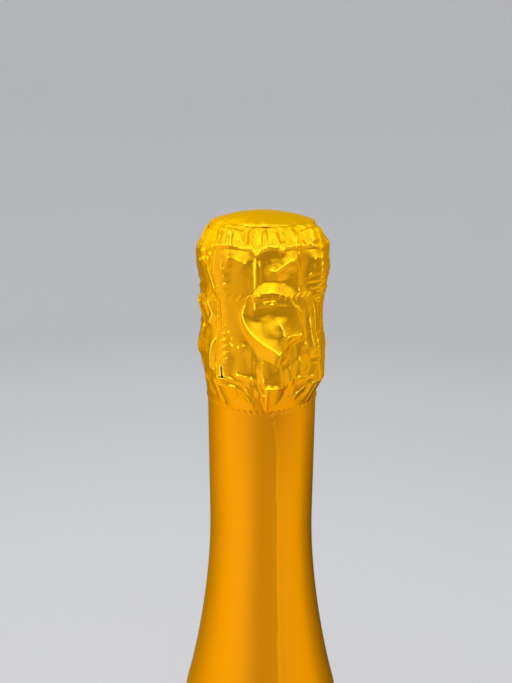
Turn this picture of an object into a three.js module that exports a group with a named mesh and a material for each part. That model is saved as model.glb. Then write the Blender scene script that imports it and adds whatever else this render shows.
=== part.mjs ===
// A gold champagne bottle: glass, cork, wire cage with its cap and key, and the foil capsule over them.
// Millimetres, +Z up, origin at the middle of the standing ring. The front is -Y, and an azimuth
// is counted from the front towards +X.

import * as THREE from 'three';

// Glass bottle
const GLASS_HEIGHT = 310;
const BODY_RADIUS = 44;
const BODY_TOP = 122;
const HEEL_RADIUS = 7;
const STANDING_RING_WIDTH = 5;
const PUNT_DEPTH = 32;
const PUNT_TIP_RADIUS = 9;
const WALL = 4;
const BASE_THICKNESS = 8;
const SHOULDER_TURN_RADIUS = 30;
const SHOULDER_TURN_HEIGHT = 162;
const SHOULDER_TURN_SLOPE = 0.6;
const NECK_RADIUS = 14.3;
const NECK_FOOT = 245;
const BORE_RADIUS = 8.75;
const BORE_LENGTH = 32;
const BORE_TAPER_LENGTH = 30;
const MOUTH_ROUND = 1.5;
const LIP_RADIUS = 14.3;
const LIP_HEIGHT = 5.5;
const GROOVE_DEPTH = 1;
const RING_RADIUS = 15.9;
const RING_FOOT_RADIUS = 15.3;
const RING_TOP_DROP = 10.5;
const RING_HEIGHT = 7;

// Cork
const CORK_DEPTH = 24;
const CORK_HEAD_RADIUS = 16;
const CORK_HEAD_HEIGHT = 15;
const CORK_CROWN = 1.8;
const CORK_DISC_THICKNESS = 6;
const CORK_CHAMFER = 0.5;
const GLUE_LINE = 0.05;

// Wire cage
const CAP_RADIUS = 14;
const CAP_DOME = 4.3;
const CAP_DOME_STEP = 1.2;
const CAP_SHEET = 0.5;
const CAP_RIM_RISE = 0.3;
const CAP_CURL = 0.4;
const TOP_RING_RADIUS = 12.3;
const WIRE_RADIUS = 0.475;
const BELT_WIRE_RADIUS = 0.55;
const STRAND_OFFSET = 0.7;
const LEG_COUNT = 4;
const FIRST_LEG_AZIMUTH = -35;
const LEG_TURNS = 5.25;
const KEY_AZIMUTH = 9;
const KEY_STEM_LENGTH = 7.5;
const KEY_STEM_TURNS = 1.5;
const KEY_LOOP_WIDTH = 13.6;
const WIRE_BUTT_GAP = 0.6;
const EYE_SWING = { full: 3, none: 16 };

// Foil capsule
const FOIL = 0.3;
const UPPER_TEAR_RISE = 1.7;
const LOWER_TEAR_DROP = 11;
const TEAR_GAP = 0.3;
const NECK_FOIL_LENGTH = 100;
const FOIL_FOLD_DEPTH = 0.5;
const SLANTED_FOLD_PITCH = 19;
const UPRIGHT_FOLD_PITCH = 30;
const FOLD_FADE = 4;
const TEAR_MARGIN = 0.5;
const LEG_RIDGE = { full: 0.5, none: 15 };
const KEY_RIDGE = { full: 3, none: 12 };
const TOP_DISC_RADIUS = 13.8;
const HOOD_HOLE_RADIUS = 9.6;

// Clearances between pieces that touch on the real object
const FIT = 0.3;
const FOIL_FIT = 0.2;
const FACET_ROOM = 0.2;

// Facets
const LATHE_SEGMENTS = 32;
const CURVE_STEPS = 4;
const CORK_CURVE_STEPS = 3;
const FOIL_COLUMNS = 48;
const WIRE_SIDES = 5;
const STEPS_PER_TURN = 6;
const PLAIN_STEPS = 4;
const EYE_STEPS = 7;
const BELT_STEPS = 48;
const KEY_LOOP_STEPS = 26;
const RING_STEP_DEGREES = 15;
const BAND_ROWS = 11;
const HOOD_ROWS = 9;

// Places that follow from the sizes above
const degrees = Math.PI / 180;
const legStep = 360 / LEG_COUNT;
const lipFoot = GLASS_HEIGHT - LIP_HEIGHT;
const ringTop = GLASS_HEIGHT - RING_TOP_DROP;
const ringBottom = ringTop - RING_HEIGHT;
const grooveRadius = LIP_RADIUS - GROOVE_DEPTH;
const corkTop = GLASS_HEIGHT + CORK_HEAD_HEIGHT;
const corkShankRadius = BORE_RADIUS - FIT;
const corkBulgeHeight = GLASS_HEIGHT + 0.6 * CORK_HEAD_HEIGHT;
const capSeat = corkTop + FIT;
const capGroove = capSeat + CAP_SHEET;
const capRim = capGroove + CAP_RIM_RISE;
const capApex = capSeat + CAP_DOME;
const twistRadius = STRAND_OFFSET + WIRE_RADIUS;
const eyeRadius = BELT_WIRE_RADIUS + FIT + WIRE_RADIUS;
const beltEyeRadius = NECK_RADIUS + FIT + 2 * WIRE_RADIUS + FIT + BELT_WIRE_RADIUS;
const beltHugRadius = NECK_RADIUS + FIT + BELT_WIRE_RADIUS;
const beltHeight = ringBottom - FIT - WIRE_RADIUS - eyeRadius;
const legHeadRadius = CORK_HEAD_RADIUS + FIT + twistRadius;
const legRingRadius = Math.max(RING_RADIUS, RING_FOOT_RADIUS) + FIT + twistRadius;
const legMouthRadius = LIP_RADIUS + 3 * FIT + twistRadius;
const keyRadius = legRingRadius;
const upperTear = GLASS_HEIGHT + UPPER_TEAR_RISE;
const lowerTear = ringBottom - LOWER_TEAR_DROP;
const keyFoot = beltHeight;
const keyTop = upperTear - TEAR_GAP / 2 - FIT - WIRE_RADIUS;

/** A point at a radius, an azimuth in degrees and a height. */
function at(radius, azimuth, height) {
  const angle = azimuth * degrees;
  return new THREE.Vector3(radius * Math.sin(angle), -radius * Math.cos(angle), height);
}

/** Eases from 0 at low to 1 at high. */
function ease(value, low, high) {
  return THREE.MathUtils.smoothstep(value, low, high);
}

/** Degrees between two azimuths, the short way round. */
function azimuthBetween(a, b) {
  return Math.abs(THREE.MathUtils.euclideanModulo(a - b + 180, 360) - 180);
}

/** Degrees from an azimuth to the nearest wire leg. */
function fromNearestLeg(azimuth) {
  const offset = THREE.MathUtils.euclideanModulo(azimuth - FIRST_LEG_AZIMUTH, legStep);
  return Math.min(offset, legStep - offset);
}

/** Turns a closed mesh right side out by the sign of its volume. */
function faceOut(positions, triangles) {
  let volume = 0;
  for (const [a, b, c] of triangles) {
    volume += positions[a].dot(new THREE.Vector3().crossVectors(positions[b], positions[c]));
  }
  const ordered = volume < 0 ? triangles.map(([a, b, c]) => [a, c, b]) : triangles;
  const geometry = new THREE.BufferGeometry();
  geometry.setFromPoints(positions);
  geometry.setIndex(ordered.flat());
  geometry.computeVertexNormals();
  return geometry;
}

/** A solid of revolution: its outline of radius and height starts and ends on the axis, or is a loop. */
function revolve(outline) {
  const rings = [];
  const positions = [];
  for (const point of outline) {
    const onAxis = point.x < 1e-6;
    const count = onAxis ? 1 : LATHE_SEGMENTS;
    rings.push({ start: positions.length, count });
    for (let i = 0; i < count; i += 1) {
      positions.push(at(onAxis ? 0 : point.x, (360 * i) / LATHE_SEGMENTS, point.y));
    }
  }
  const triangles = [];
  const closed = rings[0].count > 1;
  const bands = closed ? rings.length : rings.length - 1;
  for (let band = 0; band < bands; band += 1) {
    const low = rings[band];
    const high = rings[(band + 1) % rings.length];
    for (let i = 0; i < LATHE_SEGMENTS; i += 1) {
      const next = (i + 1) % LATHE_SEGMENTS;
      const corner = (ring, step) => ring.start + (ring.count > 1 ? step : 0);
      if (low.count > 1) triangles.push([corner(low, i), corner(low, next), corner(high, i)]);
      if (high.count > 1) triangles.push([corner(low, next), corner(high, next), corner(high, i)]);
    }
  }
  return faceOut(positions, triangles);
}

/** A wire of round section along a list of points, closed by flat ends. */
function wire(points, radius) {
  const tangents = points.map((point, i) => {
    const before = points[Math.max(i - 1, 0)];
    const after = points[Math.min(i + 1, points.length - 1)];
    return new THREE.Vector3().subVectors(after, before).normalize();
  });
  const side = new THREE.Vector3(0, 0, 1).cross(tangents[0]);
  if (side.length() < 0.1) side.set(1, 0, 0).cross(tangents[0]);
  side.normalize();
  const positions = [];
  const triangles = [];
  points.forEach((point, i) => {
    side.addScaledVector(tangents[i], -side.dot(tangents[i])).normalize();
    const up = new THREE.Vector3().crossVectors(tangents[i], side);
    for (let k = 0; k < WIRE_SIDES; k += 1) {
      const turn = (2 * Math.PI * k) / WIRE_SIDES;
      const corner = point.clone();
      corner.addScaledVector(side, radius * Math.cos(turn));
      corner.addScaledVector(up, radius * Math.sin(turn));
      positions.push(corner);
    }
  });
  for (let i = 0; i + 1 < points.length; i += 1) {
    for (let k = 0; k < WIRE_SIDES; k += 1) {
      const a = i * WIRE_SIDES + k;
      const b = i * WIRE_SIDES + ((k + 1) % WIRE_SIDES);
      triangles.push([a, b, a + WIRE_SIDES], [b, b + WIRE_SIDES, a + WIRE_SIDES]);
    }
  }
  const last = (points.length - 1) * WIRE_SIDES;
  for (let k = 1; k + 1 < WIRE_SIDES; k += 1) {
    triangles.push([0, k + 1, k], [last, last + k, last + k + 1]);
  }
  return faceOut(positions, triangles);
}

/** The least gap between two stretches of one wire, apart from neighbours along it and its two flat ends. */
function leastGap(wholeWire, radius) {
  const points = wholeWire.slice(1, -1);
  const along = [0];
  for (let i = 1; i < points.length; i += 1) {
    along.push(along[i - 1] + points[i].distanceTo(points[i - 1]));
  }
  let least = Infinity;
  for (let i = 0; i < points.length; i += 1) {
    for (let j = i + 1; j < points.length; j += 1) {
      if (along[j] - along[i] < 8 * radius) continue;
      least = Math.min(least, points[i].distanceTo(points[j]) - 2 * radius);
    }
  }
  return least;
}

/** A foil shell round the axis: its inner face follows rows of radius and height, and it is FOIL thick. */
function foilShell(rowCount, innerPoint) {
  const positions = [];
  const triangles = [];
  const columnAzimuth = (column) => FIRST_LEG_AZIMUTH + (360 * column) / FOIL_COLUMNS;
  const loop = [];
  for (let row = 0; row < rowCount; row += 1) loop.push({ row, outside: false });
  for (let row = rowCount - 1; row >= 0; row -= 1) loop.push({ row, outside: true });
  for (const { row, outside } of loop) {
    for (let column = 0; column < FOIL_COLUMNS; column += 1) {
      const azimuth = columnAzimuth(column);
      const share = row / (rowCount - 1);
      const inner = innerPoint(share, azimuth);
      if (outside) {
        const step = 0.5 / (rowCount - 1);
        const before = innerPoint(Math.max(share - step, 0), azimuth);
        const after = innerPoint(Math.min(share + step, 1), azimuth);
        const along = new THREE.Vector2().subVectors(after, before).normalize();
        const tornEdge = (row === 0 || row === rowCount - 1) && along.x > -0.5;
        const outwards = tornEdge ? new THREE.Vector2(1, 0) : new THREE.Vector2(along.y, -along.x);
        inner.addScaledVector(outwards, FOIL);
      }
      positions.push(at(inner.x, azimuth, inner.y));
    }
  }
  for (let ring = 0; ring < loop.length; ring += 1) {
    const nextRing = (ring + 1) % loop.length;
    for (let column = 0; column < FOIL_COLUMNS; column += 1) {
      const next = (column + 1) % FOIL_COLUMNS;
      const a = ring * FOIL_COLUMNS + column;
      const b = ring * FOIL_COLUMNS + next;
      const c = nextRing * FOIL_COLUMNS + column;
      const d = nextRing * FOIL_COLUMNS + next;
      triangles.push([a, b, c], [b, d, c]);
    }
  }
  return faceOut(positions, triangles);
}

// Glass: the two curves of the shoulder, shared by the outside, the inside and the neck foil

/** The shoulder's lower, swelling curve and its upper, hollow curve up to the neck, moved in by an inset. */
function shoulderCurves(inset) {
  const body = BODY_RADIUS - inset;
  const neck = NECK_RADIUS - inset;
  const turn = new THREE.Vector2(SHOULDER_TURN_RADIUS - inset, SHOULDER_TURN_HEIGHT);
  const downhill = new THREE.Vector2(SHOULDER_TURN_SLOPE, -1).normalize();
  const lowerRun = 0.4 * (SHOULDER_TURN_HEIGHT - BODY_TOP);
  const upperRun = 0.36 * (NECK_FOOT - SHOULDER_TURN_HEIGHT);
  const lower = new THREE.CubicBezierCurve(
    new THREE.Vector2(body, BODY_TOP),
    new THREE.Vector2(body, BODY_TOP + lowerRun),
    turn.clone().addScaledVector(downhill, 0.9 * lowerRun),
    turn,
  );
  const upper = new THREE.CubicBezierCurve(
    turn,
    turn.clone().addScaledVector(downhill, -0.4 * upperRun),
    new THREE.Vector2(neck, NECK_FOOT - upperRun),
    new THREE.Vector2(neck, NECK_FOOT),
  );
  return { lower, upper };
}

/** The corners of the shoulder's faceted outline, from the body up to the neck. */
function shoulderCorners() {
  const { lower, upper } = shoulderCurves(0);
  return [...lower.getPoints(CURVE_STEPS), ...upper.getPoints(CURVE_STEPS).slice(1)];
}

/** The glass's outer radius at a height on the body, the shoulder or the neck. */
function glassRadiusAt(height) {
  if (height >= NECK_FOOT) return NECK_RADIUS;
  if (height <= BODY_TOP) return BODY_RADIUS;
  const corners = shoulderCorners();
  const above = corners.findIndex((corner) => corner.y >= height);
  const below = corners[above - 1];
  return THREE.MathUtils.mapLinear(height, below.y, corners[above].y, below.x, corners[above].x);
}

function glassBottle() {
  const standOuter = BODY_RADIUS - HEEL_RADIUS;
  const standInner = standOuter - STANDING_RING_WIDTH;
  const innerNeck = NECK_RADIUS - WALL;
  const innerHeel = HEEL_RADIUS + BASE_THICKNESS;
  const outside = shoulderCurves(0);
  const inside = shoulderCurves(WALL);
  const boreFoot = GLASS_HEIGHT - BORE_LENGTH;
  const lipRound = 0.3 * LIP_HEIGHT;
  const ringShoulder = RING_RADIUS - grooveRadius;

  const path = new THREE.Path();
  path.moveTo(0, PUNT_DEPTH);
  path.bezierCurveTo(PUNT_TIP_RADIUS, PUNT_DEPTH, 0.6 * standInner, 0.8 * PUNT_DEPTH, standInner, 0);
  path.lineTo(standOuter, 0);
  path.absarc(standOuter, HEEL_RADIUS, HEEL_RADIUS, -90 * degrees, 0, false);
  path.lineTo(BODY_RADIUS, BODY_TOP);
  path.curves.push(outside.lower, outside.upper);
  path.currentPoint.copy(outside.upper.v3);
  path.lineTo(NECK_RADIUS, ringBottom);
  path.lineTo(RING_FOOT_RADIUS, ringBottom);
  path.lineTo(RING_RADIUS, ringTop - ringShoulder);
  path.absarc(grooveRadius, ringTop - ringShoulder, ringShoulder, 0, 90 * degrees, false);
  path.lineTo(grooveRadius, lipFoot - 0.5 * GROOVE_DEPTH);
  path.lineTo(LIP_RADIUS, lipFoot + 0.5 * GROOVE_DEPTH);
  path.lineTo(LIP_RADIUS, GLASS_HEIGHT - lipRound);
  path.absarc(LIP_RADIUS - lipRound, GLASS_HEIGHT - lipRound, lipRound, 0, 90 * degrees, false);
  path.lineTo(BORE_RADIUS + MOUTH_ROUND, GLASS_HEIGHT);
  const mouthCentre = [BORE_RADIUS + MOUTH_ROUND, GLASS_HEIGHT - MOUTH_ROUND];
  path.absarc(...mouthCentre, MOUTH_ROUND, 90 * degrees, 180 * degrees, false);
  path.lineTo(BORE_RADIUS, boreFoot);
  path.lineTo(innerNeck, boreFoot - BORE_TAPER_LENGTH);
  path.lineTo(innerNeck, NECK_FOOT);
  const backwards = (curve) => new THREE.CubicBezierCurve(curve.v3, curve.v2, curve.v1, curve.v0);
  path.curves.push(backwards(inside.upper), backwards(inside.lower));
  path.currentPoint.set(BODY_RADIUS - WALL, BODY_TOP);
  path.lineTo(BODY_RADIUS - WALL, innerHeel);
  path.quadraticCurveTo(BODY_RADIUS - WALL, BASE_THICKNESS, standOuter - WALL, BASE_THICKNESS);
  const innerTop = PUNT_DEPTH + BASE_THICKNESS;
  path.bezierCurveTo(0.7 * standInner, BASE_THICKNESS, PUNT_TIP_RADIUS, innerTop, 0, innerTop);
  return revolve(outlineOf(path, CURVE_STEPS));
}

/** A path's points, with each curved stretch cut into a few steps and repeated points dropped. */
function outlineOf(path, divisions) {
  const outline = [];
  for (const curve of path.curves) {
    const steps = curve.isLineCurve ? 1 : divisions;
    for (const point of curve.getPoints(steps)) {
      const last = outline[outline.length - 1];
      if (!last || last.distanceTo(point) > 1e-3) outline.push(point);
    }
  }
  return outline;
}

// Cork

function corkBody() {
  const shankFoot = GLASS_HEIGHT - CORK_DEPTH + 2 * (CORK_DISC_THICKNESS + GLUE_LINE);
  const flareFoot = GLASS_HEIGHT - 0.2 * MOUTH_ROUND;
  const underside = GLASS_HEIGHT + FIT;
  const headFoot = new THREE.Vector2(0.96 * CORK_HEAD_RADIUS, GLASS_HEIGHT + 0.26 * CORK_HEAD_HEIGHT);
  const headFlare = new THREE.Vector2(0.88 * headFoot.x, underside);
  const topRound = new THREE.Vector2(0.94 * CORK_HEAD_RADIUS, corkTop - 0.04 * CORK_HEAD_HEIGHT);
  const topEdge = new THREE.Vector2(0.84 * CORK_HEAD_RADIUS, corkTop - 0.02 * CORK_HEAD_HEIGHT);
  const path = new THREE.Path();
  path.moveTo(0, shankFoot);
  path.lineTo(corkShankRadius, shankFoot);
  path.lineTo(corkShankRadius, flareFoot);
  path.bezierCurveTo(corkShankRadius, underside + 2 * FIT, ...headFlare, ...headFoot);
  const headSide = headFoot.y + 0.1 * CORK_HEAD_HEIGHT;
  path.quadraticCurveTo(CORK_HEAD_RADIUS, headSide, CORK_HEAD_RADIUS, corkBulgeHeight);
  path.bezierCurveTo(CORK_HEAD_RADIUS, corkTop - 0.17 * CORK_HEAD_HEIGHT, ...topRound, ...topEdge);
  path.lineTo(0.9 * TOP_RING_RADIUS, corkTop);
  path.quadraticCurveTo(0.5 * TOP_RING_RADIUS, corkTop + CORK_CROWN, 0, corkTop + CORK_CROWN);
  return revolve(outlineOf(path, CORK_CURVE_STEPS));
}

/** One natural cork disc; place 0 touches the wine and place 1 lies under the shank. */
function corkDisc(place) {
  const foot = GLASS_HEIGHT - CORK_DEPTH + place * (CORK_DISC_THICKNESS + GLUE_LINE);
  const chamfer = place === 0 ? CORK_CHAMFER : 0;
  const outline = [new THREE.Vector2(0, foot), new THREE.Vector2(corkShankRadius - chamfer, foot)];
  if (chamfer > 0) outline.push(new THREE.Vector2(corkShankRadius, foot + chamfer));
  outline.push(new THREE.Vector2(corkShankRadius, foot + CORK_DISC_THICKNESS));
  outline.push(new THREE.Vector2(0, foot + CORK_DISC_THICKNESS));
  return revolve(outline);
}

// Wire cage

function cageCap() {
  const grooveInner = TOP_RING_RADIUS - WIRE_RADIUS - FIT;
  const grooveOuter = TOP_RING_RADIUS + WIRE_RADIUS + FIT;
  const domeFoot = grooveInner - CAP_DOME_STEP;
  const top = new THREE.CubicBezierCurve(
    new THREE.Vector2(0, capApex),
    new THREE.Vector2(0.4 * domeFoot, capApex),
    new THREE.Vector2(0.65 * domeFoot, capSeat + 0.95 * CAP_DOME),
    new THREE.Vector2(domeFoot, capSeat + 0.55 * CAP_DOME),
  ).getPoints(CURVE_STEPS);
  const under = top.map((point) => new THREE.Vector2(0.97 * point.x, point.y - CAP_SHEET));
  const outline = [
    ...top,
    new THREE.Vector2(grooveInner, capGroove),
    new THREE.Vector2(grooveOuter, capGroove),
    new THREE.Vector2(CAP_RADIUS - CAP_CURL, capRim),
    new THREE.Vector2(CAP_RADIUS, capRim - CAP_RIM_RISE),
    new THREE.Vector2(CAP_RADIUS, capSeat),
    new THREE.Vector2(grooveInner - CAP_SHEET, capSeat),
    ...under.reverse(),
  ];
  return revolve(outline);
}

/** The line that a leg's two strands wind round, as radius and height, from the cap's rim to the eye. */
function legGuide() {
  const overRim = capRim + FIT + WIRE_RADIUS;
  const lap = 1.4 * twistRadius;
  return new THREE.SplineCurve([
    new THREE.Vector2(CAP_RADIUS - FIT, overRim),
    new THREE.Vector2(CAP_RADIUS + 0.8 * lap, overRim - 0.4 * lap),
    new THREE.Vector2(0.5 * (CAP_RADIUS + lap + legHeadRadius), corkTop - lap),
    new THREE.Vector2(legHeadRadius, corkBulgeHeight),
    new THREE.Vector2(legHeadRadius, GLASS_HEIGHT + 0.4 * CORK_HEAD_HEIGHT),
    new THREE.Vector2(legMouthRadius, GLASS_HEIGHT - 0.55 * LIP_HEIGHT),
    new THREE.Vector2(legRingRadius, ringTop - 0.4 * RING_HEIGHT),
    new THREE.Vector2(legRingRadius, beltHeight + 2.6 * eyeRadius),
  ]);
}

/** One strand of a twisted pair along a guide at an azimuth; the twist starts after a share of its length. */
function strand(guide, azimuth, phase, turns, plainShare) {
  const across = at(1, azimuth + 90, 0);
  const out = at(1, azimuth, 0);
  const count = Math.ceil(turns * STEPS_PER_TURN) + PLAIN_STEPS;
  const points = [];
  for (let i = 0; i <= count; i += 1) {
    const share = i / count;
    const place = guide.getPointAt(share);
    const along = guide.getTangentAt(share);
    const normal = out.clone().multiplyScalar(-along.y);
    normal.z = along.x;
    const wound = Math.max(share - plainShare, 0) / (1 - plainShare);
    const angle = phase + 2 * Math.PI * turns * wound;
    const point = at(place.x, azimuth, place.y);
    point.addScaledVector(across, STRAND_OFFSET * Math.cos(angle));
    point.addScaledVector(normal, STRAND_OFFSET * Math.sin(angle));
    points.push(point);
  }
  return points;
}

/** The eye at a leg's foot: over the belt, round its inner side and back up outside it. */
function eye(azimuth) {
  const points = [];
  const first = 75;
  const last = 350;
  for (let i = 0; i <= EYE_STEPS; i += 1) {
    const angle = (first + ((last - first) * i) / EYE_STEPS) * degrees;
    const radius = beltEyeRadius + eyeRadius * Math.cos(angle);
    points.push(at(radius, azimuth, beltHeight + eyeRadius * Math.sin(angle)));
  }
  return points;
}

/** A stretch of the cage's top ring between two azimuths. */
function topRingArc(from, to) {
  const height = capGroove + FIT + WIRE_RADIUS;
  const steps = Math.max(2, Math.round((to - from) / RING_STEP_DEGREES));
  const points = [];
  for (let i = 0; i <= steps; i += 1) {
    points.push(at(TOP_RING_RADIUS, from + ((to - from) * i) / steps, height));
  }
  return points;
}

/** The whole cage wire: a top ring, and at each leg a strand down, the eye and a strand back up. */
function cageWirePath() {
  const guide = legGuide();
  const plainShare = 0.08;
  const bend = ((STRAND_OFFSET + 2.2 * WIRE_RADIUS) / TOP_RING_RADIUS) / degrees;
  const butt = (WIRE_BUTT_GAP / 2 / TOP_RING_RADIUS) / degrees;
  const firstEnd = FIRST_LEG_AZIMUTH - legStep / 2 + butt;
  const points = topRingArc(firstEnd, FIRST_LEG_AZIMUTH - bend);
  for (let leg = 0; leg < LEG_COUNT; leg += 1) {
    const azimuth = FIRST_LEG_AZIMUTH + leg * legStep;
    const down = strand(guide, azimuth, Math.PI, LEG_TURNS, plainShare);
    const up = strand(guide, azimuth, 0, LEG_TURNS, plainShare).reverse();
    points.push(...down, ...eye(azimuth), ...up);
    const lastLeg = leg === LEG_COUNT - 1;
    const end = lastLeg ? firstEnd + 360 - 2 * butt : azimuth + legStep - bend;
    points.push(...topRingArc(azimuth + bend, end));
  }
  return points;
}

/** The belt hugs the neck, swings out through each eye, and turns its two ends out to the key. */
function beltPath() {
  const points = [];
  const endAzimuth = (STRAND_OFFSET / beltHugRadius) / degrees;
  const bendAzimuth = endAzimuth + (2.5 * BELT_WIRE_RADIUS / beltHugRadius) / degrees;
  const turnAzimuth = THREE.MathUtils.lerp(endAzimuth, bendAzimuth, 0.2);
  const turnRadius = beltHugRadius + 1.6 * BELT_WIRE_RADIUS;
  const tipRadius = keyRadius - WIRE_RADIUS - 2 * FIT;
  points.push(at(tipRadius, KEY_AZIMUTH + endAzimuth, beltHeight));
  points.push(at(turnRadius, KEY_AZIMUTH + turnAzimuth, beltHeight));
  for (let i = 0; i <= BELT_STEPS; i += 1) {
    const azimuth = KEY_AZIMUTH + bendAzimuth + ((360 - 2 * bendAzimuth) * i) / BELT_STEPS;
    const swing = 1 - ease(fromNearestLeg(azimuth), EYE_SWING.full, EYE_SWING.none);
    points.push(at(beltHugRadius + (beltEyeRadius - beltHugRadius) * swing, azimuth, beltHeight));
  }
  points.push(at(turnRadius, KEY_AZIMUTH - turnAzimuth, beltHeight));
  points.push(at(tipRadius, KEY_AZIMUTH - endAzimuth, beltHeight));
  return points;
}

/** The key: up one strand of the stem, round the finger loop and down the other strand. */
function keyPath() {
  const stemTop = keyFoot + KEY_STEM_LENGTH;
  const stem = new THREE.LineCurve(
    new THREE.Vector2(keyRadius, stemTop), new THREE.Vector2(keyRadius, keyFoot),
  );
  const up = strand(stem, KEY_AZIMUTH, 0, KEY_STEM_TURNS, 0).reverse();
  const down = strand(stem, KEY_AZIMUTH, Math.PI, KEY_STEM_TURNS, 0);
  const height = keyTop - stemTop;
  const half = KEY_LOOP_WIDTH / 2;
  const rightSide = [
    new THREE.Vector2(STRAND_OFFSET + 0.12 * half, stemTop + 0.1 * height),
    new THREE.Vector2(0.6 * half, stemTop + 0.36 * height),
    new THREE.Vector2(half, stemTop + 0.68 * height),
    new THREE.Vector2(0.66 * half, stemTop + 0.92 * height),
  ];
  const leftSide = rightSide.map((point) => new THREE.Vector2(-point.x, point.y)).reverse();
  const loop = new THREE.SplineCurve([
    new THREE.Vector2(STRAND_OFFSET, stemTop),
    ...rightSide,
    new THREE.Vector2(0, keyTop),
    ...leftSide,
    new THREE.Vector2(-STRAND_OFFSET, stemTop),
  ]);
  const loopPoints = loop.getPoints(KEY_LOOP_STEPS).slice(1, -1).map((point) => (
    at(keyRadius, KEY_AZIMUTH + (point.x / keyRadius) / degrees, point.y)
  ));
  return [...up, ...loopPoints, ...down];
}

// Foil capsule

/** Where the foil rests between the legs, as height and inner radius: cork, mouth, ring, belt and neck. */
const foilRest = [
  [corkTop, CAP_RADIUS + 1.2 * twistRadius],
  [corkTop - 0.2 * CORK_HEAD_HEIGHT, CORK_HEAD_RADIUS + FIT],
  [corkBulgeHeight, CORK_HEAD_RADIUS + 2 * FIT],
  [upperTear, CORK_HEAD_RADIUS + FIT],
  [lipFoot - GROOVE_DEPTH, RING_RADIUS - 0.2 * GROOVE_DEPTH],
  [ringTop - 0.1 * RING_HEIGHT, RING_RADIUS],
  [ringTop - 0.35 * RING_HEIGHT, RING_RADIUS + 3 * FIT],
  [ringBottom, RING_FOOT_RADIUS + FIT],
  [beltHeight, beltHugRadius + BELT_WIRE_RADIUS + FIT + FACET_ROOM],
  [beltHeight - 2 * eyeRadius, NECK_RADIUS + 2 * FIT],
  [lowerTear, NECK_RADIUS + FOIL_FIT],
];

/** The foil's resting inner radius at a height. */
function foilRestAt(height) {
  const below = Math.max(foilRest.findIndex(([level]) => level <= height), 1);
  const [highLevel, highRadius] = foilRest[below - 1];
  const [lowLevel, lowRadius] = foilRest[below];
  return THREE.MathUtils.mapLinear(height, lowLevel, highLevel, lowRadius, highRadius);
}

/** How near an azimuth is to a wire leg: 1 on the leg, 0 between the legs. */
function legNearness(azimuth) {
  return 1 - ease(fromNearestLeg(azimuth), LEG_RIDGE.full, LEG_RIDGE.none);
}

/** Shallow folds between the wires, never inwards of where the foil rests. */
function foldDepth(azimuth, height) {
  const slanted = Math.sin(7 * azimuth * degrees + (2 * Math.PI * height) / SLANTED_FOLD_PITCH);
  const upright = Math.sin(11 * azimuth * degrees - (2 * Math.PI * height) / UPRIGHT_FOLD_PITCH + 1);
  return FOIL_FOLD_DEPTH * (0.5 + 0.3 * slanted + 0.2 * upright);
}

/** The crumpled foil's inner radius: at rest between the wires, lifted by the legs and by the key. */
function foilRadius(azimuth, height) {
  const rest = foilRestAt(height);
  const folds = foldDepth(azimuth, height) * ease(height, lowerTear, lowerTear + FOLD_FADE);
  const lift = Math.max(legHeadRadius, legRingRadius) + twistRadius + FIT + FACET_ROOM - rest;
  const fromBelow = ease(height, lowerTear + TEAR_MARGIN, beltHeight - eyeRadius);
  const leg = lift * legNearness(azimuth) * fromBelow;
  const keyHalf = (KEY_LOOP_WIDTH / 2 / keyRadius) / degrees;
  const besideKey = azimuthBetween(azimuth, KEY_AZIMUTH) - keyHalf;
  const keySide = 1 - ease(besideKey, KEY_RIDGE.full, KEY_RIDGE.none);
  const keyAbove = 1 - ease(height, upperTear + TEAR_MARGIN, upperTear + TEAR_MARGIN + FOLD_FADE);
  const key = lift * keySide * fromBelow * keyAbove;
  return rest + Math.max(folds, leg, key);
}

function tearBand() {
  const top = upperTear - TEAR_GAP / 2;
  const bottom = lowerTear + TEAR_GAP / 2;
  return foilShell(BAND_ROWS, (share, azimuth) => {
    const height = THREE.MathUtils.lerp(bottom, top, share);
    return new THREE.Vector2(foilRadius(azimuth, height), height);
  });
}

/** The hood's top flange lies over the cap and its wires, as radius and height. */
function hoodFlange() {
  const overWire = capGroove + 2 * FIT + 2 * WIRE_RADIUS;
  const turn = 0.85 * twistRadius;
  return new THREE.CubicBezierCurve(
    new THREE.Vector2(foilRestAt(corkTop - turn), corkTop - turn),
    new THREE.Vector2(CAP_RADIUS + 0.9 * turn, corkTop + 1.3 * turn),
    new THREE.Vector2(TOP_RING_RADIUS + 0.8 * turn, overWire + FOIL_FIT),
    new THREE.Vector2(HOOD_HOLE_RADIUS, capSeat + 0.82 * CAP_DOME + FIT),
  );
}

function foilHood() {
  const bottom = upperTear + TEAR_GAP / 2;
  const flange = hoodFlange();
  const sideShare = 0.55;
  return foilShell(HOOD_ROWS, (share, azimuth) => {
    if (share <= sideShare) {
      const height = THREE.MathUtils.lerp(bottom, flange.v0.y, share / sideShare);
      return new THREE.Vector2(foilRadius(azimuth, height), height);
    }
    const along = (share - sideShare) / (1 - sideShare);
    const place = flange.getPoint(along);
    const tangent = flange.getTangent(along);
    const edgeLift = foilRadius(azimuth, flange.v0.y) - flange.v0.x;
    const overLeg = 1.2 * twistRadius * legNearness(azimuth) * (1 - ease(along, 0.5, 0.9));
    const lift = Math.max(edgeLift * (1 - ease(along, 0, 0.6)), overLeg);
    return place.add(new THREE.Vector2(tangent.y, -tangent.x).multiplyScalar(lift));
  });
}

function neckFoil() {
  const top = lowerTear - TEAR_GAP / 2;
  const foot = top - NECK_FOIL_LENGTH;
  const corners = shoulderCorners().map((corner) => corner.y);
  const heights = [foot, ...corners.filter((height) => height > foot && height < top), top];
  const inner = heights.map((height) => new THREE.Vector2(glassRadiusAt(height) + FOIL_FIT, height));
  const outer = inner.map((point) => new THREE.Vector2(point.x + FOIL, point.y));
  return revolve([...inner, ...outer.reverse()]);
}

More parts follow.
